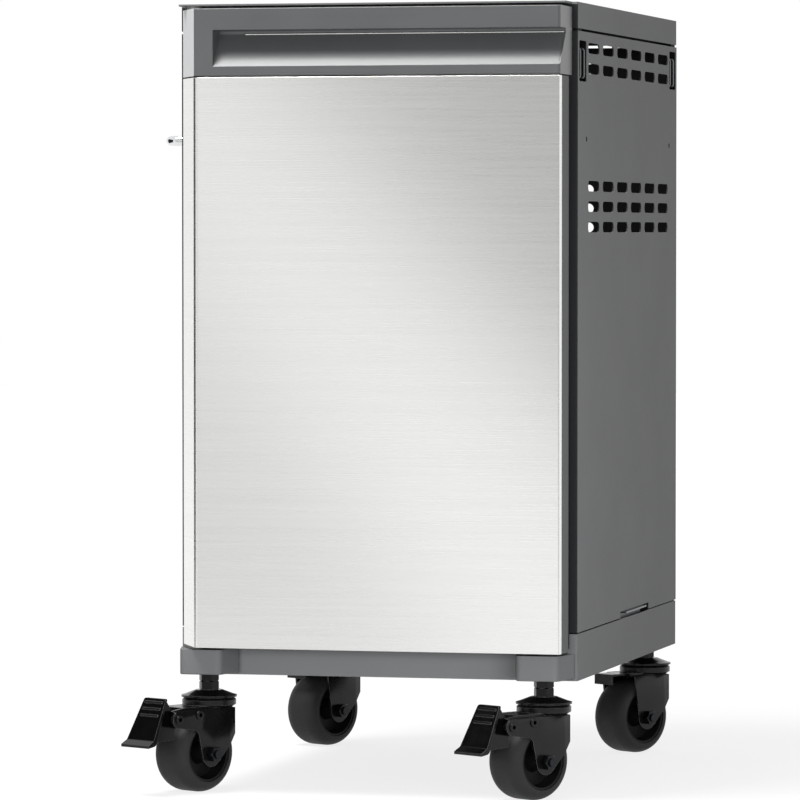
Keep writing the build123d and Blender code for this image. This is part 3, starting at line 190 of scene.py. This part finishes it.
class CabinetStage(bpy.types.PropertyGroup):
    """Floor, light and camera."""

    floor_tone: colour_property("Floor", "Paint of the studio floor", "#747474")
    floor_size: size_property("Floor size", "Length of the floor's side", 30000.0)
    floor_glow: strength_property("Floor glow", "How white the floor looks near the cabinet", 0.8)
    ambient: strength_property("Ambient", "Even light from all round", 0.5)
    top_power: strength_property("Top light", "Softbox above the front, in watts", 215.0)
    front_power: strength_property("Front light", "Low softbox in front, in watts", 130.0)
    side_power: strength_property("Side light", "Small low softbox on the right in front, in watts", 10.0)
    upper_card: strength_property("Upper card", "Brightness mirrored in the door's upper right", 0.46)
    lower_card: strength_property("Lower card", "Brightness mirrored in the door's lower left", 0.74)
    left_card: strength_property("Left card", "Brightness mirrored in the bend of the door skin", 0.03)
    lens: strength_property("Lens", "Focal length in millimetres on a 36 mm frame", 241.9)
    eye: place_property("Camera place", "Where the camera stands", (1.5307, -6.3274, 0.6503))
    aim: place_property("Camera aim", "Point the camera looks at", (-0.03035, -0.0664, 0.44867))


def finishes():
    """The finishes' settings."""
    return bpy.context.scene.cabinet_finishes


def stage_settings():
    """The stage's settings."""
    return bpy.context.scene.cabinet_stage


def add(tree, kind, inputs=None, **settings):
    """Adds a node with its settings; each input is a value or another node's output."""
    made = tree.nodes.new(kind)
    for name, value in settings.items():
        setattr(made, name, value)
    for name, value in (inputs or {}).items():
        if isinstance(value, bpy.types.NodeSocket):
            tree.links.new(value, made.inputs[name])
        else:
            made.inputs[name].default_value = value
    return made


def start_material(name):
    """New material with an empty node tree; returns both."""
    material = bpy.data.materials.new(name)
    material.use_nodes = True
    material.node_tree.nodes.clear()
    return material, material.node_tree


def end_material(tree, shader):
    """Joins the finished shader to the material's output."""
    add(tree, "ShaderNodeOutputMaterial", {"Surface": shader.outputs["BSDF"]})


def rgba(colour):
    """Colour with full opacity, as a colour socket takes it."""
    return (*colour, 1.0)


def dress(names, material):
    """Gives CAD nodes a material."""
    for name in names:
        solid = frame["nodes"][name]
        for slot in solid.material_slots:
            slot.material = material


def mottled(tree, colour, pattern, darkest, lightest):
    """Colour that a noise pattern makes darker and lighter."""
    tone = add(
        tree,
        "ShaderNodeMapRange",
        {"Value": pattern, **NOISE_SPAN, "To Min": darkest, "To Max": lightest},
    )
    shaded = add(
        tree,
        "ShaderNodeVectorMath",
        {0: colour, "Scale": tone.outputs["Result"]},
        operation="SCALE",
    )
    return shaded.outputs["Vector"]


def along_edges(tree, edge, on_faces, on_edges):
    """Value on the flat faces that passes to another one along the rounded edges."""
    shape = add(tree, "ShaderNodeNewGeometry")
    turn = add(
        tree,
        "ShaderNodeVectorMath",
        {0: edge.outputs["Normal"], 1: shape.outputs["Normal"]},
        operation="DOT_PRODUCT",
    )
    painted_highlight = add(
        tree,
        "ShaderNodeMapRange",
        {"Value": turn.outputs["Value"], **EDGE_SPAN, "To Min": on_faces, "To Max": on_edges},
    )
    return painted_highlight.outputs["Result"]


def shade_faces(tree, place, front_below):
    """Where painted shade goes: one on faces that look into the body, and on those that look to the front
    below a height.
    """
    shape = add(tree, "ShaderNodeNewGeometry")
    level = add(
        tree,
        "ShaderNodeVectorMath",
        {0: shape.outputs["Normal"], 1: (1.0, 1.0, 0.0)},
        operation="MULTIPLY",
    )
    outward = add(
        tree,
        "ShaderNodeVectorMath",
        {0: level.outputs["Vector"], 1: place.outputs["Object"]},
        operation="DOT_PRODUCT",
    )
    inward = add(
        tree,
        "ShaderNodeMath",
        {0: outward.outputs["Value"], 1: -INWARD_DISTANCE},
        operation="LESS_THAN",
    )
    if front_below is None:
        return inward.outputs["Value"]
    facing = add(tree, "ShaderNodeSeparateXYZ", {"Vector": shape.outputs["Normal"]})
    front = add(tree, "ShaderNodeMath", {0: facing.outputs["Y"], 1: FRONTWARD}, operation="LESS_THAN")
    where = add(tree, "ShaderNodeSeparateXYZ", {"Vector": place.outputs["Object"]})
    low = add(tree, "ShaderNodeMath", {0: where.outputs["Z"], 1: front_below}, operation="LESS_THAN")
    # Painted shade on front-facing faces below the lip, for the shade behind the door.
    behind_door = add(
        tree,
        "ShaderNodeMath",
        {0: front.outputs["Value"], 1: low.outputs["Value"]},
        operation="MULTIPLY",
    )
    either = add(
        tree,
        "ShaderNodeMath",
        {0: inward.outputs["Value"], 1: behind_door.outputs["Value"]},
        operation="MAXIMUM",
    )
    return either.outputs["Value"]


def powder_coated_steel(name, colour, inside, roughness, shade_front_below=None):
    """Sheet steel with a baked powder coat outside and near-black painted shade on the faces inside, for
    the shade there.

    The coat melts and flows as it bakes, which leaves shallow ripples, a satin sheen and soft edges,
    with a painted highlight along the rounded edges.
    Below a given height, faces that look to the front take dark painted shade too, for the shade behind a
    closed door.
    """
    material, tree = start_material(name)
    place = add(tree, "ShaderNodeTexCoord")
    ripple = add(
        tree,
        "ShaderNodeTexNoise",
        {"Vector": place.outputs["Object"], "Scale": 1.0 / finishes().peel_size, "Detail": 2.0},
    )
    cloud = add(
        tree,
        "ShaderNodeTexNoise",
        {"Vector": place.outputs["Object"], "Scale": 1.0 / (110.0 * MILLIMETRE), "Detail": 3.0},
    )
    edge = add(tree, "ShaderNodeBevel", {"Radius": 1.1 * MILLIMETRE}, samples=6)
    coat = mottled(tree, colour, cloud.outputs["Fac"], darkest=0.96, lightest=1.04)
    # Painted highlight: the coat is made half again as light along rounded edges, for glints there.
    highlighted_coat = add(
        tree,
        "ShaderNodeVectorMath",
        {0: coat, "Scale": along_edges(tree, edge, on_faces=1.0, on_edges=1.5)},
        operation="SCALE",
    )
    paint = add(
        tree,
        "ShaderNodeMix",
        {
            "Factor": shade_faces(tree, place, shade_front_below),
            "A": highlighted_coat.outputs["Vector"],
            "B": rgba(inside),
        },
        data_type="RGBA",
    )
    waver = 0.05
    gloss = add(
        tree,
        "ShaderNodeMapRange",
        {"Value": ripple.outputs["Fac"], "To Min": roughness - waver, "To Max": roughness + waver},
    )
    peel = add(
        tree,
        "ShaderNodeBump",
        {
            "Height": ripple.outputs["Fac"],
            "Strength": 0.08,
            "Distance": 0.1 * MILLIMETRE,
            "Normal": edge.outputs["Normal"],
        },
    )
    shader = add(
        tree,
        "ShaderNodeBsdfPrincipled",
        {
            "Base Color": paint.outputs["Result"],
            "Roughness": gloss.outputs["Result"],
            "Specular IOR Level": 0.05,
            "Normal": peel.outputs["Normal"],
        },
    )
    end_material(tree, shader)
    return material


def brushed_stainless():
    """Stainless sheet brushed along its width: long fine scratches that spread the light up and down.

    Real brush lines are about 0.1 mm apart; here they are ten times coarser so that they show.
    """
    material, tree = start_material("brushed_stainless_sheet")
    place = add(tree, "ShaderNodeTexCoord")
    per_length = 1.0 / finishes().brush_length
    per_pitch = 1.0 / finishes().brush_pitch
    along = add(
        tree,
        "ShaderNodeMapping",
        {"Vector": place.outputs["Object"], "Scale": (per_length, per_length, per_pitch)},
    )
    brush = add(
        tree,
        "ShaderNodeTexNoise",
        {"Vector": along.outputs["Vector"], "Scale": 1.0, "Detail": 4.0, "Roughness": 0.7},
    )
    broad = add(
        tree,
        "ShaderNodeTexNoise",
        {"Vector": along.outputs["Vector"], "Scale": 1.0 / BAND_LINES, "Detail": 2.0},
    )
    both = add(
        tree,
        "ShaderNodeMath",
        {0: brush.outputs["Fac"], 1: broad.outputs["Fac"]},
        operation="ADD",
    )
    tone = add(
        tree,
        "ShaderNodeMapRange",
        {
            "Value": both.outputs["Value"],
            "From Min": 0.6,
            "From Max": 1.4,
            "To Min": 0.97,
            "To Max": 1.01,
        },
    )
    steel = add(
        tree,
        "ShaderNodeVectorMath",
        {0: finishes().stainless, "Scale": tone.outputs["Result"]},
        operation="SCALE",
    )
    gloss = add(
        tree,
        "ShaderNodeMapRange",
        {
            "Value": brush.outputs["Fac"],
            "From Min": 0.25,
            "From Max": 0.75,
            "To Min": 0.24,
            "To Max": 0.34,
        },
    )
    edge = add(tree, "ShaderNodeBevel", {"Radius": 0.6 * MILLIMETRE}, samples=4)
    scratch = add(
        tree,
        "ShaderNodeBump",
        {
            "Height": brush.outputs["Fac"],
            "Strength": 0.04,
            "Distance": 0.05 * MILLIMETRE,
            "Normal": edge.outputs["Normal"],
        },
    )
    shader = add(
        tree,
        "ShaderNodeBsdfPrincipled",
        {
            "Base Color": steel.outputs["Vector"],
            "Metallic": 1.0,
            "Roughness": gloss.outputs["Result"],
            "Normal": scratch.outputs["Normal"],
        },
    )
    end_material(tree, shader)
    return material


def moulded_satin(name, colour, roughness, grain, gloss_level=0.5, lacquer=0.0, left_highlight=None):
    """Moulded plastic with the fine grain of its etched mould, which breaks the gloss up evenly.

    The grain is drawn coarser than an etched mould's so that it shows. A clear lacquer on top mirrors
    bright things at flat angles. Faces that look to the piece's own left can take a paler colour of their
    own, a painted highlight.
    """
    material, tree = start_material(name)
    place = add(tree, "ShaderNodeTexCoord")
    cells = add(tree, "ShaderNodeTexVoronoi", {"Vector": place.outputs["Object"], "Scale": 1.0 / grain})
    flow = add(
        tree,
        "ShaderNodeTexNoise",
        {"Vector": place.outputs["Object"], "Scale": 1.0 / (70.0 * MILLIMETRE), "Detail": 2.0},
    )
    paint = mottled(tree, colour, flow.outputs["Fac"], darkest=0.95, lightest=1.05)
    # Painted highlight: faces that look to the left take the pale bevel colour, for the light the bevel
    # catches.
    if left_highlight is not None:
        facing = add(tree, "ShaderNodeSeparateXYZ", {"Vector": place.outputs["Normal"]})
        leftward = add(
            tree,
            "ShaderNodeMath",
            {0: facing.outputs["X"], 1: LEFTWARD},
            operation="LESS_THAN",
        )
        bevel_highlighted = add(
            tree,
            "ShaderNodeMix",
            {"Factor": leftward.outputs["Value"], "A": paint, "B": rgba(left_highlight)},
            data_type="RGBA",
        )
        paint = bevel_highlighted.outputs["Result"]
    gloss = add(
        tree,
        "ShaderNodeMapRange",
        {
            "Value": cells.outputs["Distance"],
            "From Max": 0.8,
            "To Min": roughness - 0.04,
            "To Max": roughness + 0.06,
        },
    )
    edge = add(tree, "ShaderNodeBevel", {"Radius": 0.8 * MILLIMETRE}, samples=6)
    grained = add(
        tree,
        "ShaderNodeBump",
        {
            "Height": cells.outputs["Distance"],
            "Strength": 0.06,
            "Distance": 0.1 * MILLIMETRE,
            "Normal": edge.outputs["Normal"],
        },
    )
    shader = add(
        tree,
        "ShaderNodeBsdfPrincipled",
        {
            "Base Color": paint,
            "Roughness": gloss.outputs["Result"],
            "Specular IOR Level": gloss_level,
            "Coat Weight": lacquer,
            "Coat Roughness": 0.2,
            "Normal": grained.outputs["Normal"],
        },
    )
    end_material(tree, shader)
    return material


def plated_metal(name, colour, roughness, spangle):
    """Electroplated steel: bright metal whose crystals give a faint cloudy pattern."""
    material, tree = start_material(name)
    place = add(tree, "ShaderNodeTexCoord")
    crystals = add(
        tree,
        "ShaderNodeTexNoise",
        {"Vector": place.outputs["Object"], "Scale": 1.0 / spangle, "Detail": 3.0},
    )
    dullest = roughness * 1.5
    gloss = add(
        tree,
        "ShaderNodeMapRange",
        {"Value": crystals.outputs["Fac"], **NOISE_SPAN, "To Min": roughness, "To Max": dullest},
    )
    shader = add(
        tree,
        "ShaderNodeBsdfPrincipled",
        {
            "Base Color": mottled(tree, colour, crystals.outputs["Fac"], darkest=0.9, lightest=1.04),
            "Metallic": 1.0,
            "Roughness": gloss.outputs["Result"],
        },
    )
    end_material(tree, shader)
    return material


def electro_coated_steel(name, colour, roughness, gloss_level):
    """Stamped steel dipped in black electro-coat: thin and a little wavy, with a painted highlight along
    its edges.
    """
    material, tree = start_material(name)
    place = add(tree, "ShaderNodeTexCoord")
    ripple = add(
        tree,
        "ShaderNodeTexNoise",
        {"Vector": place.outputs["Object"], "Scale": 1.0 / (14.0 * MILLIMETRE), "Detail": 2.0},
    )
    edge = add(tree, "ShaderNodeBevel", {"Radius": 0.8 * MILLIMETRE}, samples=6)
    gloss = add(
        tree,
        "ShaderNodeMapRange",
        {
            "Value": ripple.outputs["Fac"],
            **NOISE_SPAN,
            "To Min": roughness - 0.04,
            "To Max": roughness + 0.05,
        },
    )
    # Painted highlight: a lighter grey along the rounded edges, for glints there.
    painted_highlight = add(
        tree,
        "ShaderNodeMix",
        {
            "Factor": along_edges(tree, edge, on_faces=0.0, on_edges=1.0),
            "A": mottled(tree, colour, ripple.outputs["Fac"], darkest=0.92, lightest=1.08),
            "B": rgba(finishes().edge_highlight_grey),
        },
        data_type="RGBA",
    )
    wavy = add(
        tree,
        "ShaderNodeBump",
        {
            "Height": ripple.outputs["Fac"],
            "Strength": 0.05,
            "Distance": 0.1 * MILLIMETRE,
            "Normal": edge.outputs["Normal"],
        },
    )
    shader = add(
        tree,
        "ShaderNodeBsdfPrincipled",
        {
            "Base Color": painted_highlight.outputs["Result"],
            "Roughness": gloss.outputs["Result"],
            "Specular IOR Level": gloss_level,
            "Normal": wavy.outputs["Normal"],
        },
    )
    end_material(tree, shader)
    return material


def tread_rubber():
    """Moulded rubber tread: dull, with dust in its pores, which are drawn coarse enough to show."""
    material, tree = start_material("tread_rubber")
    place = add(tree, "ShaderNodeTexCoord")
    pores = add(
        tree,
        "ShaderNodeTexNoise",
        {"Vector": place.outputs["Object"], "Scale": 1.0 / (1.6 * MILLIMETRE), "Detail": 4.0},
    )
    dust = add(
        tree,
        "ShaderNodeTexNoise",
        {"Vector": place.outputs["Object"], "Scale": 1.0 / (30.0 * MILLIMETRE), "Detail": 3.0},
    )
    gloss = add(
        tree,
        "ShaderNodeMapRange",
        {"Value": pores.outputs["Fac"], **NOISE_SPAN, "To Min": 0.5, "To Max": 0.68},
    )
    pitted = add(
        tree,
        "ShaderNodeBump",
        {"Height": pores.outputs["Fac"], "Strength": 0.1, "Distance": 0.1 * MILLIMETRE},
    )
    shader = add(
        tree,
        "ShaderNodeBsdfPrincipled",
        {
            "Base Color": mottled(
                tree, finishes().tyre_black, dust.outputs["Fac"], darkest=0.85, lightest=1.18
            ),
            "Roughness": gloss.outputs["Result"],
            "Specular IOR Level": 0.25,
            "Normal": pitted.outputs["Normal"],
        },
    )
    end_material(tree, shader)
    return material


class CABINET_OT_coat_body(bpy.types.Operator):
    """Powder coat on the body sheets, near-black painted shade on what lies inside and beside the door,
    and moulded feet
    """

    bl_idname = "cabinet.coat_body"
    bl_label = "Coat Body"

    def execute(self, context):
        tones = finishes()
        graphite = powder_coated_steel(
            "graphite_powder_coat", tones.graphite, tones.inner_shade_black, roughness=0.5
        )
        dress(("base_pan", "base_floor", "back_panel"), graphite)
        # Below the lip, front-facing faces of the sides and top frame take the flange colour: painted
        # shade for the gap behind the door.
        around_door = powder_coated_steel(
            "graphite_panel_coat",
            tones.graphite,
            tones.flange_shade_black,
            roughness=0.5,
            shade_front_below=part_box("top_frame")[1][2] - LIP_SHEET,
        )
        dress(("side_panel_left", "side_panel_right", "top_frame"), around_door)
        # Near-black painted shade: corner posts, rear caster plates, door liner and link brackets stand in
        # the shade inside and under the body.
        interior_shade = powder_coated_steel("black_painted_shade", tones.inner_shade_black, tones.inner_shade_black, roughness=0.6)
        dress([f"corner_post_{corner}" for corner in CORNERS], interior_shade)
        dress(("rear_caster_plates", "door_liner", "link_brackets"), interior_shade)
        feet = moulded_satin(
            "moulded_foot", tones.foot_grey, roughness=0.5, grain=tones.moulding_grain, gloss_level=0.2
        )
        dress(("foot_block_left", "foot_block_right"), feet)
        return {"FINISHED"}


class CABINET_OT_finish_door(bpy.types.Operator):
    """Brushed skin, moulded handle bar with its wire, coated frame and edge strip of the door"""

    bl_idname = "cabinet.finish_door"
    bl_label = "Finish Door"

    def execute(self, context):
        tones = finishes()
        dress(("door_skin",), brushed_stainless())
        lacquered = {
            "colour": tones.bar_grey,
            "roughness": 0.38,
            "grain": tones.moulding_grain,
            "gloss_level": 0.3,
            "lacquer": 0.25,
        }
        bar = moulded_satin("lacquered_handle_bar", **lacquered, left_highlight=tones.bevel_highlight_grey)
        dress(("handle_bezel",), bar)
        dress(("handle_end_cap",), moulded_satin("lacquered_end_cap", **lacquered))
        wire = plated_metal("drawn_steel_wire", tones.stainless, roughness=0.2, spangle=25.0 * MILLIMETRE)
        dress(("handle_bead",), wire)
        core = powder_coated_steel("door_frame_coat", tones.door_grey, tones.door_grey, roughness=0.45)
        dress(("door_core",), core)
        strip = moulded_satin(
            "extruded_edge_strip",
            tones.strip_grey,
            roughness=0.55,
            grain=tones.moulding_grain,
            gloss_level=0.1,
        )
        dress(("door_edge_trim",), strip)
        return {"FINISHED"}


class CABINET_OT_plate_hardware(bpy.types.Operator):
    """Chrome on the towel bar, zinc on links and fasteners, plastic on bushes and catch"""

    bl_idname = "cabinet.plate_hardware"
    bl_label = "Plate Hardware"

    def execute(self, context):
        tones = finishes()
        chrome = plated_metal(
            "bright_chrome_plate", tones.chrome, roughness=0.08, spangle=40.0 * MILLIMETRE
        )
        dress(("towel_bar",), chrome)
        zinc = plated_metal("bright_zinc_plate", tones.zinc, roughness=0.32, spangle=6.0 * MILLIMETRE)
        dress(("back_screws", "foot_screws", "towel_bar_nuts", "caster_inserts"), zinc)
        dress(("hinge_pins", "striker_plate"), zinc)
        dull_zinc = plated_metal(
            "dull_zinc_plate", tones.wire_grey, roughness=0.4, spangle=4.0 * MILLIMETRE
        )
        dress(("link_staples", "link_tabs"), dull_zinc)
        acetal = moulded_satin("moulded_acetal", tones.acetal, roughness=0.4, grain=0.8 * MILLIMETRE)
        dress(("hinge_bushes", "hinge_washers"), acetal)
        case = moulded_satin(
            "moulded_magnet_case", tones.magnet_black, roughness=0.5, grain=1.0 * MILLIMETRE
        )
        dress(("magnet_catch",), case)
        return {"FINISHED"}


class CABINET_OT_finish_casters(bpy.types.Operator):
    """Electro-coat, black zinc, rubber and nylon on the casters"""

    bl_idname = "cabinet.finish_casters"
    bl_label = "Finish Casters"

    def execute(self, context):
        tones = finishes()
        coat = electro_coated_steel(
            "black_electro_coat", tones.caster_black, roughness=0.25, gloss_level=0.25
        )
        bolts = plated_metal("black_zinc_plate", tones.bolt_black, roughness=0.3, spangle=4.0 * MILLIMETRE)
        tread = tread_rubber()
        hub = moulded_satin(
            "moulded_nylon_hub", tones.hub_black, roughness=0.5, grain=1.0 * MILLIMETRE, gloss_level=0.2
        )
        pedal = electro_coated_steel(
            "black_pedal_coat", tones.pedal_black, roughness=0.16, gloss_level=0.25
        )
        turned = electro_coated_steel(
            "glossy_electro_coat", tones.caster_black, roughness=0.14, gloss_level=0.18
        )
        dress(("jam_nuts",), turned)
        for corner in CORNERS:
            dress((f"caster_stem_{corner}",), turned)
            dress((f"caster_fork_{corner}",), coat)
            dress((f"axle_bolt_{corner}",), bolts)
            dress((f"wheel_tyre_{corner}",), tread)
            dress((f"wheel_hub_{corner}",), hub)
        for corner in BRAKED_CORNERS:
            dress((f"brake_pedal_{corner}",), pedal)
            dress((f"brake_rivets_{corner}",), bolts)
        return {"FINISHED"}


def new_object(name, data):
    """New object in the scene."""
    made = bpy.data.objects.new(name, data)
    bpy.context.scene.collection.objects.link(made)
    return made


def share_between(value, start, end):
    """How far a value has come from start to end, from 0 to 1."""
    return min(max((value - start) / (end - start), 0.0), 1.0)


def broad_piece(node, slot, body, axle, inner, outer, shoulder=None):
    """Stands in for a caster piece, with its two sides further apart along the axle.

    What lies within inner of the middle stays, what lies beyond outer moves out as it is, and
    the stretch between follows. A fork stays as it is above its shoulder.
    """
    solid = frame["nodes"][node]
    shape = bmesh.new()
    shape.from_mesh(solid.data)
    bmesh.ops.remove_doubles(shape, verts=shape.verts, dist=WELD_DISTANCE)
    for height in shoulder or ():
        everything = shape.verts[:] + shape.edges[:] + shape.faces[:]
        at_height = (0.0, 0.0, height)
        bmesh.ops.bisect_plane(shape, geom=everything, plane_co=at_height, plane_no=(0.0, 0.0, 1.0))
    centre = Vector(axle["pos_m"])
    along = Vector(axle["axis"])
    for point in shape.verts:
        aside = (point.co - centre).dot(along)
        share = share_between(abs(aside), inner, outer)
        if shoulder:
            low, high = shoulder
            share *= share_between(point.co.z, high, low)
        point.co += along * copysign(share * finishes().caster_spread, aside)
    for face in shape.faces:
        face.smooth = True
    for edge in shape.edges:
        edge.smooth = edge.calc_face_angle(0.0) < SHARP_EDGE
    mesh = bpy.data.meshes.new(f"broad_{node}")
    shape.to_mesh(mesh)
    shape.free()
    mesh.materials.append(solid.material_slots[0].material)
    piece = new_object(f"broad_{node}", mesh)
    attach(piece, body)
    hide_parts(node)


class CABINET_OT_broaden_casters(bpy.types.Operator):
    """Forks, treads, hubs, axle bolts and rivets as broad as the real casters"""

    bl_idname = "cabinet.broaden_casters"
    bl_label = "Broaden Casters"

    def execute(self, context):
        axles = {joint["name"]: joint for joint in frame["joints"]}
        for corner in CORNERS:
            axle = axles[f"roll_{corner}"]
            wheel = f"wheel_{corner}"
            fork = f"fork_{corner}"
            broad_piece(f"wheel_tyre_{corner}", "tyre_rubber", wheel, axle, *TYRE_STRETCH)
            broad_piece(f"wheel_hub_{corner}", "hub_nylon", wheel, axle, *HUB_STRETCH)
            broad_piece(f"axle_bolt_{corner}", "bolt_black", fork, axle, *BOLT_STRETCH)
            broad_piece(
                f"caster_fork_{corner}", "caster_black", fork, axle, *FORK_STRETCH, FORK_SHOULDER
            )
            if corner in BRAKED_CORNERS:
                broad_piece(f"brake_rivets_{corner}", "bolt_black", fork, axle, *BOLT_STRETCH)
        return {"FINISHED"}


def white_to_the_eye(tree):
    """One where the camera looks straight or by a mirror-like surface, and zero for the light itself."""
    path = add(tree, "ShaderNodeLightPath")
    mirrored = add(
        tree,
        "ShaderNodeMath",
        {0: path.outputs["Is Glossy Ray"], 1: path.outputs["Is Transmission Ray"]},
        operation="MAXIMUM",
    )
    seen = add(
        tree,
        "ShaderNodeMath",
        {0: path.outputs["Is Camera Ray"], 1: mirrored.outputs["Value"]},
        operation="MAXIMUM",
    )
    return seen.outputs["Value"]


def flat_object(name, corners, material):
    """Flat stage object through the corners."""
    mesh = bpy.data.meshes.new(name)
    mesh.from_pydata(corners, [], [tuple(range(len(corners)))])
    mesh.materials.append(material)
    flat = new_object(name, mesh)
    return flat


def floor_paint(settings):
    """Grey matt floor paint that looks white to the camera, and a little less so near the cabinet."""
    material, tree = start_material("studio_floor_paint")
    place = add(tree, "ShaderNodeTexCoord")
    away = add(tree, "ShaderNodeVectorMath", {0: place.outputs["Object"]}, operation="LENGTH")
    glow = add(
        tree,
        "ShaderNodeMapRange",
        {"Value": away.outputs["Value"], **FLOOR_FADE, "To Min": settings.floor_glow, "To Max": 1.0},
    )
    seen = add(
        tree,
        "ShaderNodeMath",
        {0: glow.outputs["Result"], 1: white_to_the_eye(tree)},
        operation="MULTIPLY",
    )
    shader = add(
        tree,
        "ShaderNodeBsdfPrincipled",
        {
            "Base Color": rgba(settings.floor_tone),
            "Roughness": 0.9,
            "Specular IOR Level": 0.0,
            "Emission Color": WHITE,
            "Emission Strength": seen.outputs["Value"],
        },
    )
    end_material(tree, shader)
    return material


def studio_floor(settings):
    """Large floor that takes the cabinet's soft shadow."""
    half = settings.floor_size / 2
    corners = [(-half, -half, 0), (half, -half, 0), (half, half, 0), (-half, half, 0)]
    flat_object("studio_floor", corners, floor_paint(settings))


def mirror_card(name, corners, brightness):
    """Card beside the stage that only mirror-like rays meet, so that the door shows its edge."""
    material, tree = start_material(name)
    glow = add(tree, "ShaderNodeEmission", {"Color": WHITE, "Strength": brightness})
    add(tree, "ShaderNodeOutputMaterial", {"Surface": glow.outputs["Emission"]})
    card = flat_object(name, corners, material)
    card.visible_camera = False
    card.visible_diffuse = False
    card.visible_shadow = False


def door_cards(settings):
    """Two slanted cards in front that shade the brushed door, and a dark one for its left bend."""
    upper = [(x, FRONT_CARDS_Y, z) for x, z in UPPER_CARD_XZ]
    mirror_card("upper_card", upper, settings.upper_card)
    lower = [(x, FRONT_CARDS_Y, z) for x, z in LOWER_CARD_XZ]
    mirror_card("lower_card", lower, settings.lower_card)
    left = [(LEFT_CARD_X, y, z) for y, z in LEFT_CARD_YZ]
    mirror_card("left_card", left, settings.left_card)


def studio_world(settings):
    """Even ambient light, seen as plain white by the camera and in mirror-like surfaces."""
    world = bpy.data.worlds.new("studio_world")
    bpy.context.scene.world = world
    world.use_nodes = True
    tree = world.node_tree
    tree.nodes.clear()
    strength = add(
        tree,
        "ShaderNodeMapRange",
        {"Value": white_to_the_eye(tree), "To Min": settings.ambient, "To Max": 1.0},
    )
    light = add(tree, "ShaderNodeBackground", {"Color": WHITE, "Strength": strength.outputs["Result"]})
    add(tree, "ShaderNodeOutputWorld", {"Surface": light.outputs["Background"]})


def stand(thing, place, target):
    """Puts a light or a camera at a place and turns it towards a point."""
    thing.location = place
    thing.rotation_mode = "QUATERNION"
    thing.rotation_quaternion = (Vector(target) - Vector(place)).to_track_quat("-Z", "Y")


def softbox(name, power, place, width, height, mirrored=True):
    """Rectangular soft light turned towards the cabinet; the door shows it only if it is mirrored."""
    lamp = bpy.data.lights.new(name, "AREA")
    lamp.shape = "RECTANGLE"
    lamp.size = width
    lamp.size_y = height
    lamp.energy = power
    box = new_object(name, lamp)
    stand(box, place, LIGHT_AIM)
    box.visible_glossy = mirrored


def studio_camera(settings):
    """Long-lens camera at the photograph's place."""
    lens = bpy.data.cameras.new("studio_camera")
    lens.sensor_width = SENSOR_WIDTH
    lens.lens = settings.lens
    lens.clip_end = FAR_CLIP
    camera = new_object("studio_camera", lens)
    stand(camera, settings.eye, settings.aim)
    bpy.context.scene.camera = camera


class CABINET_OT_build_stage(bpy.types.Operator):
    """Floor, world, mirror cards, softboxes and camera"""

    bl_idname = "cabinet.build_stage"
    bl_label = "Build Stage"

    def execute(self, context):
        settings = stage_settings()
        studio_floor(settings)
        studio_world(settings)
        door_cards(settings)
        softbox("top_softbox", settings.top_power, **TOP_LIGHT)
        softbox("front_softbox", settings.front_power, **FRONT_LIGHT)
        softbox("side_softbox", settings.side_power, **SIDE_LIGHT)
        studio_camera(settings)
        context.scene.view_settings.view_transform = "Standard"
        return {"FINISHED"}


OPERATORS = (
    CABINET_OT_coat_body,
    CABINET_OT_finish_door,
    CABINET_OT_plate_hardware,
    CABINET_OT_finish_casters,
    CABINET_OT_broaden_casters,
    CABINET_OT_build_stage,
)


class CABINET_PT_sidebar(bpy.types.Panel):
    """Buttons for each group of pieces and the settings they use"""

    bl_idname = "CABINET_PT_sidebar"
    bl_label = "Grill Cabinet"
    bl_space_type = "VIEW_3D"
    bl_region_type = "UI"
    bl_category = "Grill Cabinet"

    def draw(self, context):
        for operator in OPERATORS:
            self.layout.operator(operator.bl_idname)
        for group in (context.scene.cabinet_finishes, context.scene.cabinet_stage):
            box = self.layout.box()
            for name in group.__annotations__:
                box.prop(group, name)


CLASSES = (CabinetFinishes, CabinetStage, *OPERATORS, CABINET_PT_sidebar)


def register():
    """Adds the classes and their settings to Blender."""
    for item in CLASSES:
        bpy.utils.register_class(item)
    bpy.types.Scene.cabinet_finishes = bpy.props.PointerProperty(type=CabinetFinishes)
    bpy.types.Scene.cabinet_stage = bpy.props.PointerProperty(type=CabinetStage)


def unregister():
    """Takes the settings and the classes out again."""
    del bpy.types.Scene.cabinet_stage
    del bpy.types.Scene.cabinet_finishes
    for item in reversed(CLASSES):
        bpy.utils.unregister_class(item)


def main():
    """Runs every operator in order."""
    register()
    bpy.ops.cabinet.coat_body()
    bpy.ops.cabinet.finish_door()
    bpy.ops.cabinet.plate_hardware()
    bpy.ops.cabinet.finish_casters()
    bpy.ops.cabinet.broaden_casters()
    bpy.ops.cabinet.build_stage()


if __name__ == "__main__":
    main()
